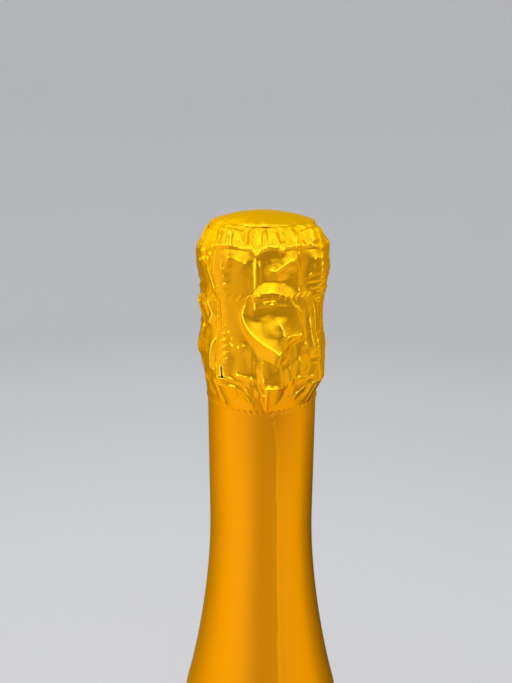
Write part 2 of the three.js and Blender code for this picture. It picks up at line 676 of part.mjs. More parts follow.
function foilTopDisc() {
  const flange = hoodFlange();
  const clear = FOIL + FOIL_FIT + FACET_ROOM;
  const apex = Math.max(capApex, flange.v3.y) + FIT + clear;
  const edge = new THREE.Vector2(TOP_DISC_RADIUS, capRim + 2 * WIRE_RADIUS + 2 * FIT + clear);
  const shoulder = flange.v3.y + clear + 2 * FOIL_FIT;
  const top = new THREE.CubicBezierCurve(
    new THREE.Vector2(0, apex + FOIL),
    new THREE.Vector2(0.45 * TOP_DISC_RADIUS, apex + FOIL),
    new THREE.Vector2(HOOD_HOLE_RADIUS, shoulder + FOIL),
    new THREE.Vector2(edge.x, edge.y + FOIL),
  ).getPoints(CURVE_STEPS - 1);
  const under = top.map((point) => new THREE.Vector2(point.x, point.y - FOIL)).reverse();
  return revolve([...top, ...under]);
}

// Materials and the assembled bottle

const goldGlass = new THREE.MeshStandardMaterial({ color: '#d98a0a', roughness: 0.12, metalness: 1 });
const goldFoil = new THREE.MeshStandardMaterial({ color: '#e5a21c', roughness: 0.2, metalness: 1 });
const agglomerate = new THREE.MeshStandardMaterial({ color: '#b98d5c', roughness: 0.9, metalness: 0 });
const naturalCork = new THREE.MeshStandardMaterial({ color: '#c79f70', roughness: 0.9, metalness: 0 });
const tinplate = new THREE.MeshStandardMaterial({ color: '#d9a63a', roughness: 0.3, metalness: 1 });
const steelWire = new THREE.MeshStandardMaterial({ color: '#b9bbbd', roughness: 0.3, metalness: 1 });

const bottle = new THREE.Group();

function addPiece(name, geometry, material) {
  const piece = new THREE.Mesh(geometry, material);
  piece.name = name;
  bottle.add(piece);
}

addPiece('glass_bottle', glassBottle(), goldGlass);
addPiece('cork_body', corkBody(), agglomerate);
addPiece('cork_disc_upper', corkDisc(1), naturalCork);
addPiece('cork_disc_lower', corkDisc(0), naturalCork);
addPiece('cage_cap', cageCap(), tinplate);
const cageWirePoints = cageWirePath();
addPiece('cage_wire', wire(cageWirePoints, WIRE_RADIUS), steelWire);
addPiece('cage_belt', wire(beltPath(), BELT_WIRE_RADIUS), steelWire);
const keyPoints = keyPath();
addPiece('cage_key', wire(keyPoints, WIRE_RADIUS), steelWire);
addPiece('neck_foil', neckFoil(), goldFoil);
addPiece('tear_band', tearBand(), goldFoil);
addPiece('foil_hood', foilHood(), goldFoil);
addPiece('foil_top_disc', foilTopDisc(), goldFoil);

console.log(`least gap of the cage wire to itself ${leastGap(cageWirePoints, WIRE_RADIUS).toFixed(2)} mm`);
console.log(`least gap of the key wire to itself ${leastGap(keyPoints, WIRE_RADIUS).toFixed(2)} mm`);

export default bottle;
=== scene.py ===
"""Looks of a gold champagne bottle: smooth glass, crumpled foil capsule, twisted wire cage and cork.

Lengths are in millimetres until a mesh is made. An azimuth is counted in degrees from the front,
which is -Y, towards +X.
"""

import math

import bpy
import numpy as np
from mathutils import Matrix, Vector


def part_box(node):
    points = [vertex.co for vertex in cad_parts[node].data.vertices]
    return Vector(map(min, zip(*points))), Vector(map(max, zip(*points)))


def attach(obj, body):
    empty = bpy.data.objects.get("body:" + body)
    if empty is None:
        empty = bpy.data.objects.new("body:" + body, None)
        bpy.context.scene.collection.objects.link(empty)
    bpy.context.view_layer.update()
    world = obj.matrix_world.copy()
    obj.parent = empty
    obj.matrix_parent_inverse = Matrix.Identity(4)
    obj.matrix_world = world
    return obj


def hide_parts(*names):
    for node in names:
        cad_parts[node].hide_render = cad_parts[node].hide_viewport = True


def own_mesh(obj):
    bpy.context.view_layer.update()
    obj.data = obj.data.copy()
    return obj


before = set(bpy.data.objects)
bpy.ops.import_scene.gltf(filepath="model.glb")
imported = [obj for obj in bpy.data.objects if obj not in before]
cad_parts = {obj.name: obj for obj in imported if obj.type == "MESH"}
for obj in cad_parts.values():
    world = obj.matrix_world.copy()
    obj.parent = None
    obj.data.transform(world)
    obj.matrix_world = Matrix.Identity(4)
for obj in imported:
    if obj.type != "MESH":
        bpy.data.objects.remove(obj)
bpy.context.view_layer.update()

MM = 0.001


def low(node):
    """A CAD node's lowest height."""
    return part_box(node)[0].z / MM


def high(node):
    """A CAD node's highest height."""
    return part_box(node)[1].z / MM


# Places taken from the frame
GLASS_TOP = high("glass_bottle")
BODY_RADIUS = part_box("glass_bottle")[1].x / MM
SHANK_FOOT = low("cork_body")
UPPER_TEAR = 0.5 * (high("tear_band") + low("foil_hood"))
LOWER_TEAR = 0.5 * (high("neck_foil") + low("tear_band"))
SKIRT_FOOT = low("neck_foil")
CAPSULE_TOP = high("foil_top_disc")

# Glass
NECK_RADIUS = 14.3
NECK_FOOT = 245.0
WALL = 4.0
BORE_RADIUS = 8.75
RING_RADIUS = 15.9
RING_FOOT_RADIUS = 15.3
RING_TOP = GLASS_TOP - 10.5
RING_FOOT = RING_TOP - 7.0

# Cork and cap
CORK_TOP = GLASS_TOP + 15.0
HEAD_RADIUS = 16.0
SHANK_RADIUS = 8.45
CAP_RADIUS = 14.0
CAP_SEAT = CORK_TOP + 0.3
CAP_GROOVE = CAP_SEAT + 0.5
CAP_APEX = CAP_SEAT + 4.3

# Wire cage
WIRE = 0.475
BELT_WIRE = 0.55
STRAND_OFFSET = 0.7
TWIST_RADIUS = STRAND_OFFSET + WIRE
LEG_AZIMUTHS = (-35.0, 55.0, 145.0, 235.0)
LEG_TURNS = 9.25
PLAIN_SHARE = 0.08
TOP_RING_RADIUS = 12.3
LEG_HEAD_RADIUS = 17.475
LEG_RING_RADIUS = 17.375
LEG_MOUTH_RADIUS = 16.4
LEG_ARC = math.radians(LEG_RING_RADIUS)
KEY_AZIMUTH = 9.0
KEY_WIDTH = 13.6
KEY_STEM_TURNS = 1.5
EYE_RADIUS = 1.325
BELT_HEIGHT = RING_FOOT - 0.3 - WIRE - EYE_RADIUS
BELT_EYE_RADIUS = 16.4
BELT_HUG_RADIUS = 15.15
BELT_SWING = (3, 16)
KEY_STEM_TOP = BELT_HEIGHT + 7.5
KEY_TOP = high("cage_key") - WIRE

# Foil
FOIL = 0.1
COVER = 0.28
CLEARANCE = 0.13
CLEAR_SLOPE = 2.5
DEEPEST = -0.9
NOTCH = 0.34
RIB_HEIGHT = 307.0
RIB_REACH = 7.0
LEG_FLANK = 1.1
FOOT_SLOPE = 0.6
FOOT_TOP = BELT_HEIGHT - 1.0
TAUT_RADIUS = 17.9
LEFT_SWELL = 0.3
STRETCH_FOOT = 282
STRETCH_RISE = 12
DRAPE = 0.55
PRINT_LEAN = 0.38
PRINT_FLANK = 0.6
PRINT_DISH = 0.55
PRINT_WAIST = 308.0
COLUMNS = 480
ROW = 0.24
SKIRT_COLUMNS = 240
FOIL_ARC = math.radians(17.2)
FOIL_ROUND = 360 * FOIL_ARC
PERFORATION_PITCH = 1.75
DASH_HEIGHT = 0.55
DASH_WIDTH = 0.24
DASH_EDGE = 0.15
UPPER_SLANT = 1.0
LOWER_SLANT = -0.9
CREST_GAIN = 1.2
CREASE_GAIN = 0.65
DASH_RISE = 0.2
DISC_RADIUS = 13.3
DISC_ROW = 0.35
SKIRT_GAP = 0.55
PLUMB_TOP = 322.0
SIDE_AZIMUTH = 88
SIDE_FADE = (16, 40)

# Crumpling: heights and cells of sharp facets, which are calmer in front, soft waves, ripples and dents
FACETS = 0.26
FACETS_CALM = 0.18
FACET_CELL = 3.6
SWAY = 0.16
SWAY_CELL = 4.0
RIPPLE = 0.04
RIPPLE_CELL = 1.4
DENT = 0.2
DENT_CELL = 7

# Heights over which the hood turns in over the cap's rim, and over which its lift and the legs' bends end
RIM_TURN = (326.2, 327.6)
RIM_END = (327.6, 328.3)
BEND_END = (327.9, 328.6)
LEG_BEND = 0.8

# The tear over the left leg's foot: an upright slit on a level nick
SLIT_AZIMUTH = -32.6
SLIT_HEIGHTS = (291.5, 292.4, 294.4)
SLIT_WIDTHS = (2.3, 1.7, 0.9)
NICK_AZIMUTH = -32.7
NICK_WIDTH = 7.5
NICK_HEIGHT = 291.35
NICK_OPENING = 0.3

# Bends over which a crest gets a painted highlight, a brighter gold, and leans its shading normal to the
# light, how far it leans, and the plain hems at the tears, which get none
CREST_BEND = (0.509, 0.535)
CREST_TILT = 0.8
HEM = 0.6

# Heights between which the foil takes on the neck's deeper tone
FOOT_TONE = (284, 294)

# Camera
CAMERA_PLACE = (-1.6, -155.2, 341.9)
CAMERA_DOWN = 16.49
CAMERA_ROLL = 0.13
CAMERA_LENS = 31.63

# Softbox and sky, in metres and watts
SOFTBOX_SIZE = 0.9
SOFTBOX_POWER = 7
SOFTBOX_PLACE = (-0.15, -0.25, 1.25)
SOFTBOX_AIM = (0, 0, 0.3)
SKY = (0.9, 0.92, 0.95, 1)
SKY_STRENGTH = 0.8

LATHE = 128
SMALL_LATHE = 96


# Meshes

def at(radius, azimuth, height):
    """Points at radii, azimuths and heights."""
    angle = np.radians(azimuth)
    return np.stack(np.broadcast_arrays(radius * np.sin(angle), -radius * np.cos(angle), height), -1)


def add_piece(name, points, faces, body, node, material):
    """A smooth mesh that rides a body and stands for a CAD node."""
    mesh = bpy.data.meshes.new(name)
    mesh.from_pydata((np.asarray(points) * MM).tolist(), [], faces)
    mesh.polygons.foreach_set("use_smooth", np.ones(len(mesh.polygons), bool))
    mesh.materials.append(material)
    mesh.update()
    piece = bpy.data.objects.new(name, mesh)
    bpy.context.scene.collection.objects.link(piece)
    if body:
        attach(piece, body)
        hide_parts(node)
    return piece


def grid_faces(rows, columns, closed_rows=False):
    """Faces of a grid that is closed round its columns and, if wanted, its rows."""
    faces = []
    for row in range(rows if closed_rows else rows - 1):
        here = row * columns
        there = ((row + 1) % rows) * columns
        for column in range(columns):
            beside = (column + 1) % columns
            faces.append((here + column, here + beside, there + beside, there + column))
    return faces


def revolve(outline, segments=LATHE):
    """Points and faces of a closed outline of radius and height turned round the axis."""
    azimuths = np.arange(segments) * 360.0 / segments
    points = []
    rings = []
    for radius, height in outline:
        on_axis = radius < 1e-6
        rings.append((len(points), on_axis))
        points.extend(at(radius, azimuths[:1] if on_axis else azimuths, height))
    faces = []
    loop = not rings[0][1]
    for index in range(len(rings) if loop else len(rings) - 1):
        (first, first_tip), (second, second_tip) = rings[index], rings[(index + 1) % len(rings)]
        for k in range(segments):
            n = (k + 1) % segments
            if first_tip:
                faces.append((first, second + n, second + k))
            elif second_tip:
                faces.append((first + k, first + n, second))
            else:
                faces.append((first + k, first + n, second + n, second + k))
    return np.array(points), faces


def bezier(*corners, steps=16):
    """Points along a quadratic or cubic curve."""
    share = np.linspace(0, 1, steps + 1)[:, None]
    points = [np.array(corner, float) * np.ones((steps + 1, 1)) for corner in corners]
    while len(points) > 1:
        points = [(1 - share) * a + share * b for a, b in zip(points, points[1:])]
    return points[0]


def joined(*runs):
    """One outline from runs of points."""
    return np.concatenate([np.array(run, float) for run in runs])


def arc(centre, radius, first, last, steps=8):
    """Points along a circle's arc, angles in degrees."""
    angle = np.radians(np.linspace(first, last, steps + 1))
    return np.stack([centre[0] + radius * np.cos(angle), centre[1] + radius * np.sin(angle)], -1)


def spline(points, samples):
    """A smooth curve through points, evenly stepped by length."""
    points = np.array(points, float)
    padded = np.concatenate([points[:1], points, points[-1:]])
    pieces = []
    share = np.linspace(0, 1, 60, endpoint=False)[:, None]
    for before, start, end, after in zip(padded, padded[1:], padded[2:], padded[3:]):
        leave, arrive = 0.5 * (end - before), 0.5 * (after - start)
        cubic = 2 * start - 2 * end + leave + arrive
        square = -3 * start + 3 * end - 2 * leave - arrive
        pieces.append(((cubic * share + square) * share + leave) * share + start)
    dense = np.concatenate([*pieces, points[-1:]])
    along = np.concatenate([[0], np.cumsum(np.linalg.norm(np.diff(dense, axis=0), axis=1))])
    wanted = np.linspace(0, along[-1], samples)
    return np.stack([np.interp(wanted, along, dense[:, k]) for k in range(dense.shape[1])], -1)


def tube(points, radius, sides=10):
    """Points and faces of a round wire with flat ends."""
    points = np.asarray(points)
    tangents = np.gradient(points, axis=0)
    tangents /= np.linalg.norm(tangents, axis=1)[:, None]
    side = np.cross((0.0, 0.0, 1.0), tangents[0])
    if np.linalg.norm(side) < 0.1:
        side = np.cross((1.0, 0.0, 0.0), tangents[0])
    turn = np.arange(sides) * 2 * math.pi / sides
    rings = []
    for point, tangent in zip(points, tangents):
        side = side - tangent * side.dot(tangent)
        side /= np.linalg.norm(side)
        up = np.cross(tangent, side)
        rings.append(point + radius * (np.cos(turn)[:, None] * side + np.sin(turn)[:, None] * up))
    faces = grid_faces(len(points), sides)
    last = (len(points) - 1) * sides
    faces.append(tuple(reversed(range(sides))))
    faces.append(tuple(last + k for k in range(sides)))
    return np.concatenate(rings), faces


def ease(value, start, end):
    """Eases from 0 at start to 1 at end."""
    share = np.clip((value - start) / (end - start), 0, 1)
    return share * share * (3 - 2 * share)


def turn_between(azimuth, other):
    """Signed degrees from another azimuth, the short way round."""
    return (azimuth - other + 180) % 360 - 180


def from_nearest_leg(azimuth):
    """Degrees to the nearest leg."""
    return np.min([np.abs(turn_between(azimuth, leg)) for leg in LEG_AZIMUTHS], axis=0)


def belt_radius(azimuth):
    """The belt's radius: it hugs the neck and swings out to the eyes."""
    swing = 1 - ease(from_nearest_leg(azimuth), *BELT_SWING)
    return BELT_HUG_RADIUS + (BELT_EYE_RADIUS - BELT_HUG_RADIUS) * swing


def nearest_on(start, end, u, v):
    """Distances of points from a straight stretch, how far along it they lie, and its direction."""
    length = math.hypot(end[0] - start[0], end[1] - start[1])
    du, dv = (end[0] - start[0]) / length, (end[1] - start[1]) / length
    along = np.clip((u - start[0]) * du + (v - start[1]) * dv, 0, length)
    return np.hypot(u - start[0] - along * du, v - start[1] - along * dv), along, (du, dv)


# Wire paths

def leg_guide(samples=400):
    """The line that a leg's strands wind round, as radius and height, from the cap's rim to the eye."""
    over_rim = CAP_GROOVE + 0.6 + WIRE
    lap = 1.4 * TWIST_RADIUS
    return spline([
        (CAP_RADIUS - 0.3, over_rim),
        (CAP_RADIUS + 0.8 * lap, over_rim - 0.4 * lap),
        (0.5 * (CAP_RADIUS + lap + LEG_HEAD_RADIUS), CORK_TOP - lap),
        (LEG_HEAD_RADIUS, GLASS_TOP + 9.0),
        (LEG_HEAD_RADIUS, GLASS_TOP + 6.0),
        (LEG_MOUTH_RADIUS, GLASS_TOP - 3.0),
        (LEG_RING_RADIUS, RING_TOP - 2.8),
        (LEG_RING_RADIUS, BELT_HEIGHT + 2.6 * EYE_RADIUS),
    ], samples)


def strand(guide, azimuth, phase, turns, plain_share):
    """One strand of a twisted pair along a guide at an azimuth."""
    share = np.linspace(0, 1, len(guide))
    tangent = np.gradient(guide, axis=0)
    tangent /= np.linalg.norm(tangent, axis=1)[:, None]
    across = at(1.0, azimuth + 90, 0.0)
    out = at(1.0, azimuth, 0.0)
    normal = -tangent[:, 1:] * out + tangent[:, :1] * np.array([0.0, 0.0, 1.0])
    wound = np.maximum(share - plain_share, 0) / (1 - plain_share)
    angle = (phase + 2 * math.pi * turns * wound)[:, None]
    centre = at(guide[:, 0], azimuth, guide[:, 1])
    return centre + STRAND_OFFSET * (np.cos(angle) * across + np.sin(angle) * normal)


def top_ring(start, end):
    """A stretch of the ring round the cap."""
    azimuths = np.linspace(start, end, max(3, round((end - start) / 4)))
    return at(TOP_RING_RADIUS, azimuths, CAP_GROOVE + 0.3 + WIRE)


def cage_wire_path():
    """One wire: the top ring, and at each leg a strand down, the eye and a strand back up."""
    guide = leg_guide(150)
    bend = math.degrees((STRAND_OFFSET + 2.2 * WIRE) / TOP_RING_RADIUS)
    butt = math.degrees(0.3 / TOP_RING_RADIUS)
    first = LEG_AZIMUTHS[0] - 45 + butt
    runs = [top_ring(first, LEG_AZIMUTHS[0] - bend)]
    for index, azimuth in enumerate(LEG_AZIMUTHS):
        angle = np.radians(np.linspace(75, 350, 24))
        runs.append(strand(guide, azimuth, math.pi, LEG_TURNS, PLAIN_SHARE))
        eye_radius = BELT_EYE_RADIUS + EYE_RADIUS * np.cos(angle)
        runs.append(at(eye_radius, azimuth, BELT_HEIGHT + EYE_RADIUS * np.sin(angle)))
        runs.append(strand(guide, azimuth, 0.0, LEG_TURNS, PLAIN_SHARE)[::-1])
        last = index == len(LEG_AZIMUTHS) - 1
        runs.append(top_ring(azimuth + bend, first + 360 - 2 * butt if last else azimuth + 90 - bend))
    return np.concatenate(runs)


def belt_path():
    """The belt hugs the neck, swings out through each eye and turns its two ends out to the key."""
    end = math.degrees(STRAND_OFFSET / BELT_HUG_RADIUS)
    bend = end + math.degrees(2.5 * BELT_WIRE / BELT_HUG_RADIUS)
    turn = end + 0.2 * (bend - end)
    tip = LEG_RING_RADIUS - WIRE - 0.6
    azimuths = KEY_AZIMUTH + np.linspace(bend, 360 - bend, 180)
    ends = [(tip, end), (BELT_HUG_RADIUS + 1.6 * BELT_WIRE, turn)]
    start = [at(radius, KEY_AZIMUTH + angle, BELT_HEIGHT) for radius, angle in ends]
    finish = [at(radius, KEY_AZIMUTH - angle, BELT_HEIGHT) for radius, angle in reversed(ends)]
    return np.concatenate([start, at(belt_radius(azimuths), azimuths, BELT_HEIGHT), finish])


def key_loop(samples=90):
    """The finger loop as an arc length beside the key's azimuth and a height."""
    tall = KEY_TOP - KEY_STEM_TOP
    half = 0.5 * KEY_WIDTH
    right = [
        (STRAND_OFFSET + 0.12 * half, KEY_STEM_TOP + 0.1 * tall),
        (0.6 * half, KEY_STEM_TOP + 0.36 * tall),
        (half, KEY_STEM_TOP + 0.68 * tall),
        (0.66 * half, KEY_STEM_TOP + 0.92 * tall),
    ]
    left = [(-side, height) for side, height in reversed(right)]
    foot = [(STRAND_OFFSET, KEY_STEM_TOP)], [(-STRAND_OFFSET, KEY_STEM_TOP)]
    return spline([*foot[0], *right, (0.0, KEY_TOP), *left, *foot[1]], samples)


def key_path():
    """Up one strand of the stem, round the finger loop and down the other strand."""
    heights = np.linspace(KEY_STEM_TOP, BELT_HEIGHT, 30)
    stem = np.stack([np.full_like(heights, LEG_RING_RADIUS), heights], -1)
    loop = key_loop()[1:-1]
    round_loop = at(LEG_RING_RADIUS, KEY_AZIMUTH + np.degrees(loop[:, 0] / LEG_RING_RADIUS), loop[:, 1])
    up = strand(stem, KEY_AZIMUTH, 0.0, KEY_STEM_TURNS, 0.0)[::-1]
    return np.concatenate([up, round_loop, strand(stem, KEY_AZIMUTH, math.pi, KEY_STEM_TURNS, 0.0)])


# Foil surface: a resting outline, lifted over the wires, then folded and crumpled

# Heights and radii
REST = np.array([
    (LOWER_TEAR - 0.1, 14.95), (283.2, 15.05), (284.9, 15.25), (286.7, 15.55), (288.4, 15.9),
    (290.2, 16.2), (291.9, 16.45), (294.2, 16.8), (296.2, 17.0), (298.4, 16.75), (300.0, 16.35),
    (303.6, 16.0), (306.9, 16.2), (310.1, 16.4), (313.3, 16.7), (316.4, 17.05), (319.4, 17.3), (321.0, 17.2),
    (322.4, 16.9), (323.9, 16.2), (325.4, 15.2), (326.6, 14.35), (327.4, 13.75),
])

CREST, ROLL, CREASE = "crest", "roll", "crease"

# Each fold: kind, height in mm, width in mm, then azimuth and height of the points that it runs through
FOLDS = [
    # pockets under the top's rim
    (CREASE, 0.4, 0.6, (-53, 328.1), (-47, 325.4), (-40, 321.5)),
    (CREST, 0.4, 0.6, (-48, 328.2), (-44, 326), (-41, 324.4), (-37, 323.2)),
    (CREASE, 0.8, 0.5, (-44, 327.8), (-40, 325.2), (-35, 323.6)),
    (CREST, 0.45, 0.6, (-19, 328), (-18.5, 326), (-18, 323.8)),
    (CREASE, 1.1, 0.6, (-15, 328.2), (-15, 326), (-14, 323.6)),
    (CREST, 0.55, 0.5, (-10.5, 328), (-11.5, 326.3), (-9.5, 324), (-5, 321.9)),
    (CREST, 0.35, 0.45, (-5, 321.9), (-1, 323), (5, 323.6), (11, 324.2)),
    (CREASE, 0.6, 0.55, (-8, 326), (-6, 324.2), (-4, 322.8)),
    (CREST, 0.5, 0.45, (12, 327.8), (12, 325.6), (15, 323), (19, 325), (17, 327.8)),
    (CREASE, 1.1, 0.6, (15.5, 327.6), (15.5, 325.8), (15.5, 324)),
    (CREASE, 0.3, 0.5, (22, 327.4), (31, 327.2), (38, 327.4)),
    (CREASE, 0.7, 0.6, (40, 328), (40, 325.5), (37, 323.4)),
    (CREST, 0.45, 0.6, (45, 328), (46, 326), (43, 323.6)),
    (CREASE, 0.4, 0.6, (51, 327.5), (52, 325), (50, 322.5)),
    (ROLL, 0.7, 1.7, (-29, 325.4), (-24, 325.4)),
    (ROLL, 0.75, 1.6, (-1, 325.4), (4, 325.4)),
    (ROLL, 0.7, 1.7, (26, 325.2), (32, 325.2)),
    # under the head, left
    (CREST, 0.4, 0.9, (-31, 321.3), (-22, 321), (-16, 320.4), (-10, 319.4)),
    (CREASE, 0.4, 0.6, (-53, 319.7), (-46, 319.6), (-40, 319.9)),
    (CREST, 0.7, 0.7, (-50, 319), (-46, 315), (-42, 311)),
    (CREST, 0.6, 0.8, (-64, 319.4), (-58, 319.6), (-52, 320.4)),
    (CREST, 0.5, 0.8, (-62, 327), (-60, 323.5), (-58, 320.5)),
    (CREASE, 0.5, 0.6, (-55, 318.9), (-48, 314.5), (-45, 310)),
    (CREASE, 0.8, 0.5, (-43, 318), (-41, 312), (-40.5, 304), (-41, 294)),
    # the double upright fold in the middle
    (CREST, 0.55, 0.4, (-6.4, 322), (-6.2, 315), (-6.2, 309), (-7, 306.5)),
    (CREST, 0.5, 0.4, (-2.6, 322), (-2.6, 315), (-3, 309.5)),
    (CREASE, 0.4, 0.45, (-8, 322.5), (-8, 316), (-7.5, 309)),
    (CREASE, 0.4, 0.45, (-1.2, 322.3), (-1.2, 316), (-1.5, 310)),
    # right panel of the head
    (CREST, 0.8, 1.1, (29, 321.3), (18, 319.6), (10, 318), (1, 318.6)),
    (CREASE, 0.5, 1.0, (-1, 315.9), (11, 315.5), (24, 315.4)),
    (CREST, 0.3, 0.7, (29, 321), (30, 316), (31, 311.5)),
    (CREASE, 0.25, 0.6, (36, 323), (32, 320), (34, 315), (33, 312)),
    (CREST, 0.4, 0.9, (45, 322.5), (43, 318.2), (37, 314.5)),
    (CREASE, 0.5, 0.7, (49, 318.3), (57, 318.2), (66, 318.9)),
    # over and round the key
    (CREST, 0.22, 0.5, (-12, 311), (-16, 308), (-13, 305.3), (-5.5, 302.8), (2.5, 300.8), (11, 298.7)),
    (CREST, 0.6, 0.6, (15, 302.2), (24, 302.6), (33, 302.4)),
    (CREST, 0.4, 0.5, (12, 306.4), (15, 304.2), (16, 302)),
    (CREASE, 0.3, 0.7, (17, 300.8), (24, 301), (31, 301)),
    (CREASE, 0.7, 0.4, (13.5, 297.4), (15.5, 293), (19.5, 287)),
    (CREST, 0.4, 0.6, (19, 299), (21, 294), (26, 289)),
    (CREST, 0.15, 0.6, (-2, 310), (-5, 306)),
    # band, left of the key
    (CREST, 0.5, 1.0, (-31, 295.6), (-21, 298.6), (-10, 301)),
    (CREASE, 0.45, 0.9, (-28, 294.6), (-19, 297), (-9, 299.8)),
    (CREST, 0.35, 0.8, (-9, 300), (-6, 296.5), (-6, 293)),
    (CREASE, 0.3, 0.5, (-5, 299), (-4.5, 296)),
    (CREASE, 0.7, 0.4, (-5, 296), (-4.6, 290.3), (1, 288), (8, 285.4)),
    (CREST, 0.35, 0.6, (0, 297.5), (0, 293), (1, 290)),
    (CREST, 0.3, 0.5, (8, 296), (9, 297.6), (14, 297.6)),
    (CREASE, 0.35, 0.5, (6, 295.5), (7, 293.4), (12, 294.2)),
    (CREASE, 0.4, 0.5, (2, 291.2), (8, 290.5), (13, 291.1)),
    (CREST, 0.3, 0.5, (2, 290.2), (8, 289.4), (13, 290)),
    # band, right of the key
    (CREST, 0.5, 0.6, (38, 308), (41, 302), (45, 295.4)),
    (CREASE, 0.5, 0.5, (35, 309), (37, 302), (40, 296)),
    (CREST, 0.4, 0.6, (33, 300.8), (39, 298.6), (39, 296)),
    (CREST, 0.5, 0.7, (43, 310), (45, 304), (48, 297)),
    (CREASE, 0.5, 0.6, (40, 309), (43, 303), (46, 297)),
    (CREST, 0.3, 0.7, (27, 297), (33, 294.6), (37, 292.6)),
    # far left
    (CREST, 1.0, 0.8, (-54, 311), (-47, 306.5), (-56, 302.6)),
    (CREST, 0.7, 0.9, (-64, 312), (-60, 308.5), (-66, 304)),
    (CREASE, 0.7, 0.7, (-56, 311), (-54, 307), (-60, 303)),
    (CREST, 0.7, 0.8, (-42, 301.7), (-47, 298.9), (-51, 292.5), (-42, 291.6)),
    (ROLL, 0.5, 1.8, (-78, 310), (-76, 307.5)),
    (ROLL, 0.35, 2.0, (-74, 298), (-72, 294)),
    (CREASE, 0.8, 0.8, (-58, 304), (-68, 302), (-80, 302.5)),
    # gathers under the ring
    (CREST, 0.45, 0.5, (-30, 292.3), (-17, 290.3), (-9.5, 287)),
    (CREASE, 0.7, 0.4, (-33, 291.3), (-18, 289.3), (-10.5, 285.8)),
    (CREST, 0.4, 0.5, (-27, 290), (-16, 287.8), (-10, 284.4)),
    (CREST, 0.5, 0.6, (-24, 292.8), (-12, 292.2), (-4, 291.2)),
    (CREASE, 0.25, 0.4, (-19, 290.9), (-12, 289), (-6, 285.4)),
    (CREST, 0.25, 0.8, (-14, 291), (-6, 289), (0, 286.6)),
    (CREST, 0.35, 0.7, (0, 290.2), (5, 287.6), (9, 285), (12, 281.5)),
    (CREST, 0.5, 0.6, (26, 291.6), (36, 291.3), (47, 290.9)),
    (CREST, 0.6, 0.6, (24, 285.4), (36, 288.2), (49, 289.5)),
    (CREASE, 0.4, 0.45, (27, 284.8), (38, 287), (50, 287.8)),
    (CREST, 0.35, 0.45, (40, 284), (46, 286.6), (51, 288.6)),
    (CREASE, 0.35, 0.5, (-42, 291), (-41, 287), (-40, 282.6)),
    (CREST, 0.35, 0.5, (-50, 290), (-46, 286), (-44, 282.6)),
]

# The lip that the pockets under the rim hang over, as azimuths and heights
LIP = np.array([
    (-42, 322.6), (-37, 323), (-30, 323.2), (-22, 323.2), (-15, 323), (-9, 322.9), (-5, 321.8), (-1, 322.9),
    (4, 323.4), (12, 323.3), (15.5, 322.7), (19, 323.3), (30, 323.5), (40, 323.5), (47, 322.8),
])

# Heights above the lip and how far the foil stands out there
LIP_PROFILE = [
    (-12, 0), (-9, -0.3), (-6, -0.5), (-3.5, -0.6), (-0.6, -0.35), (-0.25, 0.1), (0, 0.4), (2, 0.2),
    (4.5, 0),
]

# Heights and how far the foil is drawn in there at the two sides
LEFT_DRAW = [
    (283, 0), (289, -0.15), (294, -0.3), (298, 0), (302, 0), (304, -0.4), (306, -0.5), (308.5, 0),
    (310, -0.4), (312, -0.8), (315, -0.65), (318, -0.25), (321, -0.4), (324, -0.6), (327, -0.4),
]
RIGHT_DRAW = [
    (283, 0), (285, -0.6), (287, -0.9), (289, -0.5), (292, -0.7), (295, -0.5), (298, -0.2), (301, -0.5),
    (304, -0.8), (307, -0.45), (310, -0.3), (312, 0), (323, -0.1), (326, -0.4), (327.5, -0.6),
]

# The key's print in the foil, as azimuths and heights round its edge
KEY_PRINT = [
    (11, 298.7), (3, 300.6), (-5, 302.6), (-12, 305), (-15.5, 307.6), (-13, 310.4), (-5, 312.4), (8, 313.2),
    (19, 312), (26, 309.2), (30, 305.6), (31.5, 302.2), (24, 300.8), (17, 299.6),
]

# Panels stretched beside and under the key: degrees from the key over which each starts and ends, and
# heights over which it ends
LEFT_PANEL = ((-47, -42), (-18, -11), (318.5, 323))
RIGHT_PANEL = ((14, 22), (42, 50), (308.5, 315))
UNDER_PANEL = ((-30, -12), (14, 30), (299, 304))

# The skirt's overlap seam, as azimuths and heights
SEAM = [(9, 281.8), (13, 276), (15, 271), (16.5, 255), (17.5, 238), (16.5, 215), (16, 190)]


def leaning_fold(kind, depth, width, azimuth, lean, heights):
    """A fold through three heights that leans to one side on its way."""
    return (kind, depth, width, *zip((azimuth, azimuth + 0.5 * lean, azimuth + lean), heights))


